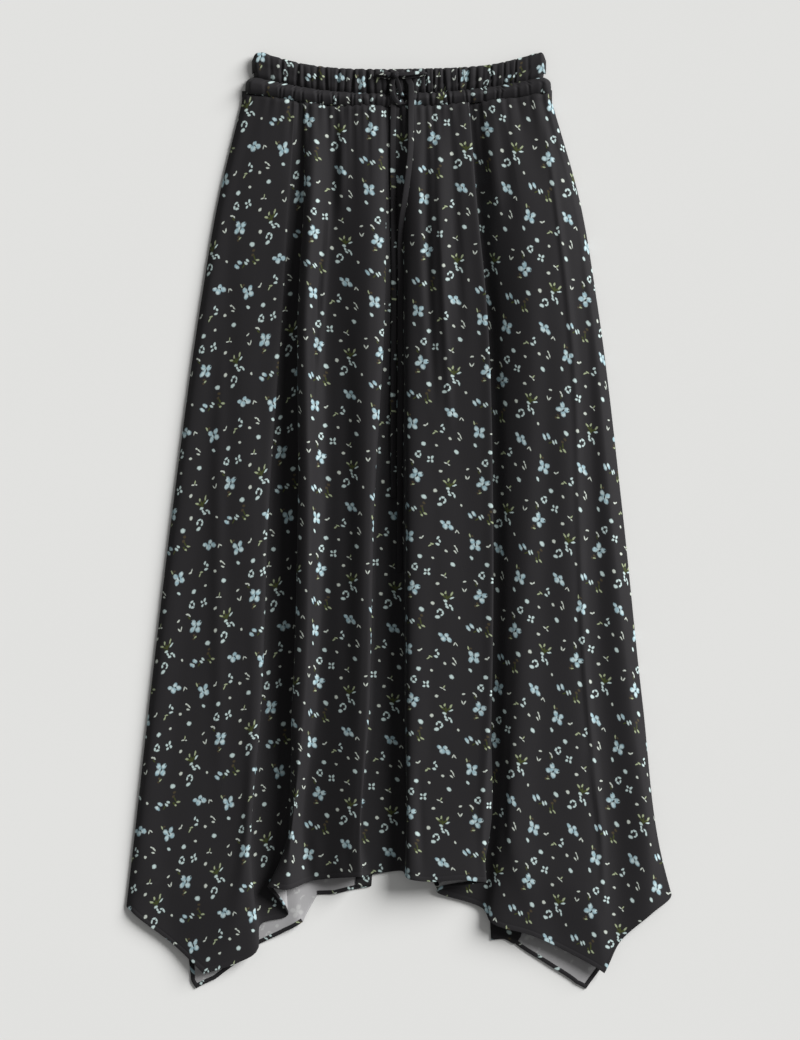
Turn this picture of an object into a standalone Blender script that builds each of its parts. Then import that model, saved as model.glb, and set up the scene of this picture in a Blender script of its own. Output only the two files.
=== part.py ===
"""Handkerchief hem skirt, laid flat on its back on a surface, face up.

The skirt lies in the XY plane, with +X to the right as seen from above, +Y towards the waist and +Z up
from the surface. The origin is under the middle of the skirt, on the surface. The tables are in
millimetres: a place across is measured from the centre line, and a drop is measured down the skirt from
the highest point of its waist edge. The front is a wall through fold lines, each with its place and its
height at six drops and at the hem. The back lies flat under it, and shows past the front at the hem.
"""
import math
import random

import bmesh
import bpy
from mathutils import Vector
from mathutils.bvhtree import BVHTree

MM = 0.001
LENGTH = 936.0
WAIST_Y = LENGTH / 2

# The walls, in millimetres.
CLOTH_WALL = 1.5
BAND_WALL = 2.2
BACK_WALL = 2.0
SEAM_GAP = 0.4
SEAT_GAP = 0.35
EDGE_Z = BACK_WALL + SEAT_GAP + CLOTH_WALL
BAND_EDGE_Z = BACK_WALL + SEAT_GAP + BAND_WALL

# Where the fold table gives a place across and a height.
PLACE_DROPS = (50.0, 150.0, 250.0, 450.0, 650.0, 810.0)
HEIGHT_DROPS = (50.0, 130.0, 450.0, 780.0)

# One row for each fold line of the front: name, place across at the six drops, place across and drop of
# its end on the hem, and the height of the face above the surface at waist, hip, knee and hem.
FRONT_FOLDS = (
    ("side_left", (-156.5, -180.5, -197.5, -225.0, -249.0, -267.0), (-272.0, 853.0), (EDGE_Z,) * 4),
    ("left_roll", (-151.5, -175.0, -192.0, -219.5, -243.5, -261.0), (-266.0, 859.5), (7.5, 8.0, 8.5, 8.0)),
    ("left_hollow", (-138.5, -163.5, -172.5, -193.5, -218.5, -230.5), (-224.5, 892.0),
     (8.5, 10.0, 10.0, 9.0)),
    ("left_swell", (-126.5, -150.5, -154.5, -155.5, -155.5, -164.5), (-194.5, 920.5),
     (9.5, 15.0, 19.0, 13.0)),
    ("left_crest", (-114.5, -126.5, -136.5, -140.5, -142.5, -148.5), (-161.5, 910.0),
     (9.5, 14.5, 17.0, 14.5)),
    ("a_left_lip", (-103.5, -110.5, -118.5, -129.0, -133.5, -136.5), (-137.5, 894.0),
     (8.5, 11.5, 12.5, 11.0)),
    ("a_left_foot", (-99.5, -106.5, -113.5, -124.0, -129.5, -134.5), (-136.5, 874.0), (5.5, 4.5, 4.5, 5.5)),
    ("a_right_foot", (-95.5, -94.0, -96.5, -97.0, -102.5, -113.5), (-111.0, 861.5), (5.5, 4.5, 4.5, 5.5)),
    ("a_right_lip", (-93.5, -94.0, -97.5, -97.5, -105.0, -119.5), (-131.0, 833.5), (8.5, 16.0, 18.5, 15.5)),
    ("mid_left_crest", (-84.5, -86.5, -89.0, -86.5, -92.5, -109.5), (-111.5, 836.0),
     (10.0, 20.5, 24.0, 20.0)),
    ("mid_left_soft", (-70.5, -70.5, -73.5, -73.5, -82.0, -91.5), (-86.5, 827.8), (7.5, 12.5, 13.5, 12.0)),
    ("left_centre_crest", (-26.5, -24.0, -24.5, -28.0, -32.0, -32.5), (-33.0, 823.2),
     (10.5, 22.0, 25.0, 20.0)),
    ("b_left_lip", (-14.5, -12.5, -13.5, -16.0, -20.5, -22.5), (-22.5, 821.5), (8.5, 15.0, 17.0, 14.0)),
    ("b_left_foot", (-9.5, -8.5, -8.5, -11.5, -14.5, -17.5), (-15.5, 819.5), (5.5, 4.5, 4.5, 5.0)),
    ("b_right_foot", (0.5, 2.5, 2.5, 3.5, 3.5, 3.5), (2.5, 818.0), (5.5, 4.5, 4.5, 5.0)),
    ("b_right_lip", (4.5, 7.5, 8.0, 9.5, 10.0, 9.5), (9.5, 825.0), (8.5, 14.0, 13.0, 12.0)),
    ("right_centre_crest", (12.5, 15.5, 20.5, 38.5, 34.5, 31.5), (33.5, 828.0), (10.0, 20.0, 22.0, 18.5)),
    ("centre_dip", (37.5, 39.5, 48.5, 66.5, 66.5, 63.5), (61.5, 826.0), (8.0, 17.0, 19.0, 17.5)),
    ("overlap_crest", (63.5, 70.0, 77.5, 82.0, 84.0, 84.5), (81.5, 828.0), (10.0, 21.5, 23.5, 21.0)),
    ("overlap_lip", (75.5, 81.0, 88.5, 92.0, 91.5, 90.0), (89.5, 828.5), (9.0, 18.0, 20.0, 17.5)),
    ("overlap_under", (72.5, 78.0, 85.5, 88.5, 86.5, 81.5), (78.5, 830.0), (7.0, 12.0, 13.0, 12.5)),
    ("c_left_foot", (74.5, 79.5, 84.5, 83.5, 71.5, 49.5), (38.5, 839.0), (5.5, 4.5, 4.5, 5.0)),
    ("c_right_foot", (83.5, 87.5, 97.5, 101.5, 96.5, 93.5), (84.5, 856.0), (5.5, 4.5, 4.5, 5.0)),
    ("right_lip", (90.5, 104.5, 113.5, 113.5, 105.5, 100.5), (92.5, 869.5), (8.5, 10.5, 11.5, 12.5)),
    ("right_crest", (103.5, 123.5, 129.5, 128.5, 119.5, 114.5), (132.5, 882.0), (9.5, 17.0, 18.5, 17.0)),
    ("right_soft", (121.5, 144.5, 147.5, 147.5, 145.5, 142.5), (161.5, 895.0), (8.0, 14.0, 14.0, 13.0)),
    ("right_ridge", (137.5, 157.5, 163.5, 169.5, 178.5, 190.5), (205.5, 920.0), (9.5, 18.5, 21.5, 14.0)),
    ("right_hollow", (143.5, 172.0, 184.5, 193.5, 202.5, 216.5), (220.5, 890.0), (8.0, 12.0, 11.5, 9.5)),
    ("right_roll", (149.0, 176.5, 192.5, 211.5, 232.5, 252.0), (252.5, 861.0), (7.5, 12.0, 15.0, 12.5)),
    ("side_right", (153.5, 181.5, 198.5, 223.0, 244.0, 264.5), (273.0, 842.0), (EDGE_Z,) * 4),
)

# Points across between two fold lines, and the rows of the front panel from its waist seam to its hem.
STEPS = 3
FRONT_ROWS = (0.0, 0.02, 0.05, 0.09, 0.15, 0.24, 0.35, 0.47, 0.59, 0.70, 0.80, 0.88, 0.94, 0.975, 1.0)

# Gathers: how deep they are at the waist seam, and how far down the panel they fade.
GATHER_DEPTH = 1.3
GATHER_FADE = 45.0

# The hem of the back, from its left side seam to its right one: place across and drop.
BACK_HEM = (
    ("side_left", -270.5, 851.0),
    ("left_a", -238.5, 879.0),
    ("left_b", -208.0, 906.0),
    ("left_corner_top", -207.5, 927.0),
    ("left_corner", -202.0, 935.6),
    ("left_c", -182.5, 926.0),
    ("left_d", -161.5, 910.0),
    ("left_e", -138.5, 891.0),
    ("left_f", -113.5, 879.0),
    ("pleat_foot", -95.5, 870.0),
    ("pleat_head", -82.0, 842.0),
    ("centre_a", -64.5, 841.5),
    ("centre_b", -46.5, 837.0),
    ("centre_c", -27.5, 833.5),
    ("centre_d", -25.0, 820.0),
    ("centre", 1.5, 812.0),
    ("centre_e", 31.5, 820.0),
    ("centre_f", 38.5, 836.0),
    ("right_a", 61.5, 845.0),
    ("right_b", 84.5, 853.0),
    ("right_c", 91.5, 867.0),
    ("fold_corner", 92.9, 887.0),
    ("right_d", 105.5, 886.4),
    ("right_e", 116.5, 891.0),
    ("right_f", 147.5, 911.0),
    ("right_g", 177.5, 931.0),
    ("right_corner", 187.5, 936.0),
    ("right_h", 202.0, 916.0),
    ("right_i", 213.5, 896.0),
    ("right_j", 241.5, 868.0),
    ("side_right", 271.0, 841.0),
)
BACK_ROWS = (0.0, 0.10, 0.22, 0.36, 0.50, 0.64, 0.76, 0.86, 0.94, 1.0)
BACK_INSET = 1.5
HEM_PULL = 6.0

# The waist edge, the seam under the elastic casing and the seam under the drawstring channel:
# place across as a share of the half width there, and drop.
WAIST_EDGE = ((-1.0, 8.0), (-0.985, 3.0), (-0.95, 0.4), (-0.86, 3.8), (-0.68, 10.6), (-0.43, 15.6),
              (-0.2, 16.8), (0.1, 16.4), (0.46, 14.6), (0.64, 11.9), (0.86, 4.3), (0.94, 1.2),
              (0.985, 2.4), (1.0, 8.0))
CASING_SEAM = ((-1.0, 25.0), (-0.8, 31.0), (-0.55, 37.5), (-0.3, 40.5), (0.1, 41.0), (0.46, 38.0),
               (0.68, 34.0), (1.0, 25.0))
CHANNEL_SEAM = ((-1.0, 41.0), (-0.8, 45.0), (-0.55, 51.5), (-0.3, 54.0), (0.1, 54.0), (0.46, 51.0),
                (0.75, 45.5), (1.0, 40.0))
WAIST_LEFT, WAIST_RIGHT = -146.5, 147.5
PINCH_LEFT, PINCH_RIGHT = -145.0, 145.0
CHANNEL_LEFT, CHANNEL_RIGHT = -153.0, 152.0
CASING_Z = 9.0
CASING_ROLL_Z = 6.0
CHANNEL_Z = 11.0
CHANNEL_TOP_Z = 8.0
BAND_GATHER = 1.2
EVEN_SHARE = 0.75
BACK_BAND_COLUMNS = 57
BACK_GATHER = 0.7

# The drawstring: a flat tube of the skirt's cloth, drawn round here, tied in a bow over the channel.
STRING_RADIUS = 2.2
STRING_STEP = 11.0
LEFT_STRING = ((-4.5, 30.0), (-5.0, 50.0), (-5.5, 90.0), (-5.0, 150.0), (-4.5, 230.0), (-5.0, 320.0),
               (-5.0, 400.0), (-4.5, 446.0))
RIGHT_STRING = ((4.0, 29.0), (11.0, 38.0), (12.5, 60.0), (12.0, 98.0), (7.5, 140.0), (3.0, 172.0),
                (2.0, 230.0), (2.0, 330.0), (1.5, 430.0), (1.5, 519.0))
KNOT_X, KNOT_DROP = -3.5, 22.5
KNOT_SIZE = (5.0, 4.2, 4.5)
LOOP_RADIUS = 2.0
LOOP_RISE = 4.7
LOOPS = (("bow_left_loop", -9.6, -23.5, 21.5), ("bow_right_loop", 2.6, 28.0, 21.0))

CLOTH_COLOUR = (0.030, 0.029, 0.031, 1.0)
CLOTH_ROUGHNESS = 0.72


def clear_scene():
    """Remove whatever the scene holds."""
    for thing in list(bpy.data.objects):
        bpy.data.objects.remove(thing, do_unlink=True)


def at_place(across, drop, height):
    """The point at a place across, a drop and a height, all in millimetres."""
    return Vector((across * MM, (WAIST_Y - drop) * MM, height * MM))


def smooth_value(stations, values, at):
    """A smooth curve through values given at stations, held level past both ends."""
    if at <= stations[0]:
        return values[0]
    if at >= stations[-1]:
        return values[-1]
    last = len(stations) - 1
    left = max(i for i in range(last) if stations[i] <= at)
    slopes = []
    for i in (left, left + 1):
        before, after = max(i - 1, 0), min(i + 1, last)
        slopes.append((values[after] - values[before]) / (stations[after] - stations[before]))
    span = stations[left + 1] - stations[left]
    t = (at - stations[left]) / span
    return ((2 * t ** 3 - 3 * t ** 2 + 1) * values[left] + (t ** 3 - 2 * t ** 2 + t) * span * slopes[0]
            + (3 * t ** 2 - 2 * t ** 3) * values[left + 1] + (t ** 3 - t ** 2) * span * slopes[1])


def between(low, high, share):
    """The value at a share of the way from one value to another."""
    return low + (high - low) * share


def along_table(table, at):
    """A smooth value from a table of (place, value) rows."""
    return smooth_value([row[0] for row in table], [row[1] for row in table], at)


def fold_point(fold, share, top_drop):
    """Where a fold line is at a share of its way from the waist seam to the hem: across, drop, height."""
    _, places, (hem_place, hem_drop), heights = fold
    drop = top_drop + (hem_drop - top_drop) * share
    across = smooth_value(PLACE_DROPS + (hem_drop,), places + (hem_place,), drop)
    return across, drop, smooth_value(HEIGHT_DROPS, heights, drop)


def rounded_row(points, steps):
    """A rounded line through a row of points: place and height are curved, the drop runs straight."""
    ends = [points[0]] + points + [points[-1]]
    line = []
    for i in range(1, len(points)):
        four = [Vector((p[0], p[2])) for p in ends[i - 1:i + 3]]
        knots = [0.0]
        for a, b in zip(four, four[1:]):
            knots.append(knots[-1] + max((b - a).length, 0.01) ** 0.5)
        for step in range(steps):
            share = step / steps
            t = knots[1] + (knots[2] - knots[1]) * share
            layer = list(four)
            for reach in (1, 2):
                pairs = enumerate(zip(layer, layer[1:]))
                layer = [blend_knots(low, high, knots, j, reach, t) for j, (low, high) in pairs]
            place = layer[0].lerp(layer[1], (t - knots[1]) / (knots[2] - knots[1]))
            drop = points[i - 1][1] + (points[i][1] - points[i - 1][1]) * share
            line.append((place.x, drop, place.y))
    line.append(points[-1])
    return line


def blend_knots(a, b, knots, first, reach, t):
    """One step of the centripetal curve: blend two points by where t lies between their knots."""
    low, high = knots[first], knots[first + reach]
    return a.lerp(b, (t - low) / (high - low))


def gather_wave(column, depths):
    """The height that a gather adds at a column: a peak on each fold line and a dip between them."""
    segment, step = divmod(column, STEPS)
    return depths[segment] * math.cos(2 * math.pi * step / STEPS)


def gather_depths(count, seed):
    """Uneven gathers, each with its own share of the full depth."""
    draw = random.Random(seed)
    return [draw.uniform(0.45, 1.0) for _ in range(count)]


def cloth_material(name):
    """The plain dark crepe of the skirt."""
    material = bpy.data.materials.new(name + "_cloth")
    material.use_nodes = True
    shader = material.node_tree.nodes["Principled BSDF"]
    shader.inputs["Base Color"].default_value = CLOTH_COLOUR
    shader.inputs["Roughness"].default_value = CLOTH_ROUGHNESS
    shader.inputs["Metallic"].default_value = 0.0
    return material


def add_piece(name, data, collection):
    """A named object with its own material, in the skirt's collection."""
    piece = bpy.data.objects.new(name, data)
    piece.data.materials.append(cloth_material(name))
    collection.objects.link(piece)
    return piece


def grid_faces(rows, columns):
    """The four-sided faces of a grid of points, facing up."""
    faces = []
    for r in range(rows - 1):
        for c in range(columns - 1):
            corner = r * columns + c
            faces.append((corner + columns, corner + columns + 1, corner + 1, corner))
    return faces


def wall(name, rows, thickness, collection):
    """A sheet through rows of points, given its thickness on the wrong side."""
    mesh = bpy.data.meshes.new(name)
    points = [at_place(*point) for row in rows for point in row]
    mesh.from_pydata(points, [], grid_faces(len(rows), len(rows[0])))
    mesh.update()
    piece = add_piece(name, mesh, collection)
    solid = piece.modifiers.new("cloth", "SOLIDIFY")
    solid.thickness = thickness * MM
    solid.offset = -1.0
    solid.use_rim = True
    return piece


def slab(name, rows, collection):
    """A closed piece whose top goes through rows of points and whose underside is flat on the surface."""
    mesh = bpy.data.meshes.new(name)
    sheet = bmesh.new()
    columns = len(rows[0])
    top = [[sheet.verts.new(at_place(*point)) for point in row] for row in rows]
    low = [[sheet.verts.new(at_place(point[0], point[1], 0.0)) for point in row] for row in rows]
    for r in range(len(rows) - 1):
        for c in range(columns - 1):
            sheet.faces.new((top[r + 1][c], top[r + 1][c + 1], top[r][c + 1], top[r][c]))
            sheet.faces.new((low[r][c], low[r][c + 1], low[r + 1][c + 1], low[r + 1][c]))
    rim_top = top[0] + [row[-1] for row in top[1:]] + top[-1][-2::-1] + [row[0] for row in top[-2:0:-1]]
    rim_low = low[0] + [row[-1] for row in low[1:]] + low[-1][-2::-1] + [row[0] for row in low[-2:0:-1]]
    for i, point in enumerate(rim_top):
        after = (i + 1) % len(rim_top)
        sheet.faces.new((point, rim_top[after], rim_low[after], rim_low[i]))
    bmesh.ops.recalc_face_normals(sheet, faces=sheet.faces)
    sheet.to_mesh(mesh)
    sheet.free()
    return add_piece(name, mesh, collection)


def panel_top_drop(across):
    """The drop of the front panel's upper edge at a place across the waist."""
    share = across / (CHANNEL_RIGHT if across > 0 else -CHANNEL_LEFT)
    return along_table(CHANNEL_SEAM, max(-1.0, min(1.0, share))) + SEAM_GAP


def front_panel_rows():
    """The rows of the front panel's face, from the seam under the channel to the hem."""
    depths = gather_depths(len(FRONT_FOLDS), seed=3)
    rows = []
    for share in FRONT_ROWS:
        points = [fold_point(fold, share, panel_top_drop(fold[1][0])) for fold in FRONT_FOLDS]
        line = rounded_row(points, STEPS)
        row = []
        for column, (across, drop, height) in enumerate(line):
            fade = math.exp(-(drop - PLACE_DROPS[0]) / GATHER_FADE)
            edge = column in (0, len(line) - 1)
            lift = 0.0 if edge else GATHER_DEPTH * min(fade, 1.0) * gather_wave(column, depths)
            row.append((across, drop, max(height + lift, EDGE_Z)))
        rows.append(row)
    return rows


def band_rows(seam_row, levels):
    """The rows of a gathered band above a seam. Each level is its left and right end, the table of its
    drop, its height and its share of the gathers' depth."""
    depths = gather_depths(len(FRONT_FOLDS), seed=8)
    count = len(seam_row)
    low, high = seam_row[0][0], seam_row[-1][0]
    rows = []
    for left, right, table, lift, height, puff in levels:
        row = []
        for column, point in enumerate(seam_row):
            share = (1 - EVEN_SHARE) * (point[0] - low) / (high - low) + EVEN_SHARE * column / (count - 1)
            edge = column in (0, count - 1)
            across = left + (right - left) * share
            drop = along_table(table, 2 * share - 1) + lift
            rise = height + puff * BAND_GATHER * gather_wave(column, depths)
            row.append((across, drop, BAND_EDGE_Z if edge else rise))
        rows.append(row)
    return rows


def back_panel_rows():
    """The rows of the back panel: its columns fan out evenly and are drawn to their places on the hem."""
    sides = []
    for _, places, (hem_place, hem_drop), _ in (FRONT_FOLDS[0], FRONT_FOLDS[-1]):
        sides.append((PLACE_DROPS + (hem_drop,), places + (hem_place,)))
    low, high = sides[0][1][-1] + BACK_INSET, sides[1][1][-1] - BACK_INSET
    last = len(BACK_HEM) - 1
    rows = []
    for share in BACK_ROWS:
        row = []
        for i, (_, hem_place, hem_drop) in enumerate(BACK_HEM):
            fan = i / last
            top = panel_top_drop(between(CHANNEL_LEFT, CHANNEL_RIGHT, fan)) + SEAM_GAP
            drop = top + (hem_drop - top) * share
            left, right = (smooth_value(stations, places, drop) for stations, places in sides)
            spread = between(left + BACK_INSET, right - BACK_INSET, fan)
            across = spread + (hem_place - between(low, high, fan)) * share ** HEM_PULL
            row.append((across, drop, BACK_WALL))
        rows.append(row)
    return rows


def back_band_rows(levels):
    """The rows of a back band, with its gathers raised on the side away from the surface."""
    rows = []
    for left, right, table, lift in levels:
        row = []
        for column in range(BACK_BAND_COLUMNS):
            share = column / (BACK_BAND_COLUMNS - 1)
            dip = BACK_GATHER if column % 2 else 0.0
            drop = along_table(table, 2 * share - 1) + lift
            row.append((left + (right - left) * share, drop, BACK_WALL - dip))
        rows.append(row)
    return rows


def surface_under(trees, across, drop, reach):
    """The highest face of the front within reach of a place, looking straight down."""
    best = 0.0
    for dx in (-reach, -reach / 2, 0.0, reach / 2, reach):
        for dy in (-reach, 0.0, reach):
            start = at_place(across + dx, drop + dy, 100.0)
            for tree in trees:
                hit = tree.ray_cast(start, Vector((0.0, 0.0, -1.0)))[0]
                if hit is not None:
                    best = max(best, hit.z / MM)
    return best


def route_points(route, step):
    """Points at even steps along a smooth line through a drawstring's own points, seen from above."""
    drops = [point[1] for point in route]
    places = [point[0] for point in route]
    count = max(2, round((drops[-1] - drops[0]) / step))
    shares = [drops[0] + (drops[-1] - drops[0]) * i / count for i in range(count + 1)]
    return [(smooth_value(drops, places, drop), drop) for drop in shares]


def cord_piece(name, points, radius, collection):
    """A round cord along points in millimetres, with closed ends."""
    curve = bpy.data.curves.new(name, "CURVE")
    curve.dimensions = "3D"
    curve.bevel_depth = radius * MM
    curve.bevel_resolution = 2
    curve.use_fill_caps = True
    spline = curve.splines.new("POLY")
    spline.points.add(len(points) - 1)
    for target, point in zip(spline.points, points):
        target.co = (*at_place(*point), 1.0)
    return add_piece(name, curve, collection)


def string_end(name, route, trees, collection):
    """A free end of the drawstring, lying on the skirt's face along its route."""
    flat = route_points(route, STRING_STEP)
    rest = [surface_under(trees, x, d, STRING_RADIUS + 0.4) + STRING_RADIUS + SEAT_GAP for x, d in flat]
    calm = []
    for i, height in enumerate(rest):
        near = rest[max(i - 1, 0):i + 2]
        calm.append(max(height, sum(near) / len(near)))
    points = [(x, d, z) for (x, d), z in zip(flat, calm)]
    return cord_piece(name, points, STRING_RADIUS, collection)


def bow(trees, collection):
    """The knot and the two flat loops of the bow, seated on the casing."""
    rest = surface_under(trees, KNOT_X, KNOT_DROP, KNOT_SIZE[0])
    middle = rest + KNOT_SIZE[2] + SEAT_GAP
    mesh = bpy.data.meshes.new("bow_knot")
    ball = bmesh.new()
    bmesh.ops.create_uvsphere(ball, u_segments=12, v_segments=8, radius=1.0)
    for vert in ball.verts:
        vert.co = Vector((vert.co.x * KNOT_SIZE[0], vert.co.y * KNOT_SIZE[1], vert.co.z * KNOT_SIZE[2])) * MM
    ball.to_mesh(mesh)
    ball.free()
    knot = add_piece("bow_knot", mesh, collection)
    knot.location = at_place(KNOT_X, KNOT_DROP, middle)
    for name, start, tip, drop in LOOPS:
        turn = math.copysign(LOOP_RADIUS, tip - start)
        stations = [start + (tip - start) * i / 4 for i in range(5)]
        seats = [surface_under(trees, at, drop, LOOP_RADIUS + 0.3) for at in stations]
        low = max(seats) + LOOP_RADIUS + SEAT_GAP
        points = [(start, drop, low), (tip - 2 * turn, drop, low), (tip - turn, drop, low + 0.22 * LOOP_RISE),
                  (tip - 0.5 * turn, drop, low + 0.5 * LOOP_RISE), (tip - turn, drop, low + 0.78 * LOOP_RISE),
                  (tip - 2 * turn, drop, low + LOOP_RISE), (start, drop, low + LOOP_RISE)]
        cord_piece(name, points, LOOP_RADIUS, collection)


def tree_of(piece):
    """A search tree of a piece as it is built, for laying things on it."""
    return BVHTree.FromObject(piece, bpy.context.evaluated_depsgraph_get())


def build_skirt():
    """Make every piece of the skirt."""
    clear_scene()
    collection = bpy.data.collections.new("handkerchief_hem_skirt")
    bpy.context.scene.collection.children.link(collection)

    panel = front_panel_rows()
    front = wall("front_panel", panel, CLOTH_WALL, collection)
    channel = band_rows(panel[0], (
        (PINCH_LEFT, PINCH_RIGHT, CASING_SEAM, SEAM_GAP / 2, CHANNEL_TOP_Z, 0.8),
        (CHANNEL_LEFT + 3.5, CHANNEL_RIGHT - 3.0, CASING_SEAM, 2.6, CHANNEL_Z - 0.6, 1.0),
        (CHANNEL_LEFT, CHANNEL_RIGHT, CHANNEL_SEAM, -5.5, CHANNEL_Z, 1.0),
        (CHANNEL_LEFT, CHANNEL_RIGHT, CHANNEL_SEAM, -SEAM_GAP / 2, CHANNEL_TOP_Z, 0.8)))
    front_channel = wall("front_drawstring_channel", channel, BAND_WALL, collection)
    casing = band_rows(panel[0], (
        (WAIST_LEFT + 1.0, WAIST_RIGHT - 1.0, WAIST_EDGE, 0.0, CASING_ROLL_Z, 0.3),
        (WAIST_LEFT, WAIST_RIGHT, WAIST_EDGE, 2.2, CASING_Z, 0.9),
        (WAIST_LEFT, WAIST_RIGHT, WAIST_EDGE, 11.0, CASING_Z + 0.6, 1.0),
        (PINCH_LEFT, PINCH_RIGHT, CASING_SEAM, -SEAM_GAP / 2, CHANNEL_TOP_Z - 0.6, 0.8)))
    front_casing = wall("front_elastic_casing", casing, BAND_WALL, collection)

    slab("back_panel", back_panel_rows(), collection)
    slab("back_drawstring_channel", back_band_rows((
        (PINCH_LEFT, PINCH_RIGHT, CASING_SEAM, SEAM_GAP / 2),
        (CHANNEL_LEFT + 1, CHANNEL_RIGHT - 1, CHANNEL_SEAM, -SEAM_GAP / 2))), collection)
    slab("back_elastic_casing", back_band_rows((
        (WAIST_LEFT + 1.5, WAIST_RIGHT - 1.5, WAIST_EDGE, 0.8),
        (PINCH_LEFT, PINCH_RIGHT, CASING_SEAM, -SEAM_GAP / 2))), collection)

    trees = [tree_of(piece) for piece in (front, front_channel, front_casing)]
    string_end("drawstring_left_end", LEFT_STRING, trees, collection)
    string_end("drawstring_right_end", RIGHT_STRING, trees, collection)
    bow(trees, collection)


build_skirt()
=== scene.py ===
"""Looks of the handkerchief hem skirt: its gathered cloth, its small floral print, its sewing and its stage.

The skirt lies flat on its back on a pale surface, seen from straight above. The tables are in millimetres,
as on a cutting table: a place across is measured from the centre line, a drop is measured down the skirt
from the highest point of its waist edge, and a height is measured up from the surface.
"""
import math

import bpy
import numpy as np
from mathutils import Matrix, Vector


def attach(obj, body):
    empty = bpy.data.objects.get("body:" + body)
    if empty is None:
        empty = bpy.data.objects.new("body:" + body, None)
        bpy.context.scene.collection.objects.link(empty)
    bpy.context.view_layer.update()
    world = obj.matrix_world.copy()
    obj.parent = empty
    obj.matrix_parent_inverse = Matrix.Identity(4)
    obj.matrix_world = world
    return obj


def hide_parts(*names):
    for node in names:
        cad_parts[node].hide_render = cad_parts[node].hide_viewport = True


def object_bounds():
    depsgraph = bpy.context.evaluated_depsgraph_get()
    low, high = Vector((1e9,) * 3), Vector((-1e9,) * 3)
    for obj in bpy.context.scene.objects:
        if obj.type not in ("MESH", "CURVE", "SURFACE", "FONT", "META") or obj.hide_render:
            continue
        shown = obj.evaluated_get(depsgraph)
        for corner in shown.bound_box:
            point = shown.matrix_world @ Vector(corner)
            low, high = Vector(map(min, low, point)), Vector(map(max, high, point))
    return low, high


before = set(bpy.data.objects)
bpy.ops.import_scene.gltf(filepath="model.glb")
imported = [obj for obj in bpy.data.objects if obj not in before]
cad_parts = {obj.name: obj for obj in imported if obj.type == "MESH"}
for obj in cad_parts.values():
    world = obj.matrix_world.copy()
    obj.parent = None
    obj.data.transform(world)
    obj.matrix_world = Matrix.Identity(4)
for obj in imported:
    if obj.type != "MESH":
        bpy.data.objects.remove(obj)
CAD_BOX = [list(corner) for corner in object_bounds()]

bl_info = {
    "name": "Handkerchief Hem Skirt",
    "version": (1, 0, 0),
    "blender": (4, 5, 0),
    "location": "View3D > Sidebar > Skirt",
    "description": "Dresses the solids of a handkerchief hem skirt with its cloth, print and sewing",
    "category": "Object",
}

MM = 0.001
WAIST_Y = CAD_BOX[1][1]

# The drops where the fold tables give a place across and a height, and the height of the side seams.
PLACE_DROPS = (50.0, 150.0, 250.0, 450.0, 650.0, 810.0)
HEIGHT_DROPS = (50.0, 130.0, 450.0, 780.0)
EDGE_Z = 2.6

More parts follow.
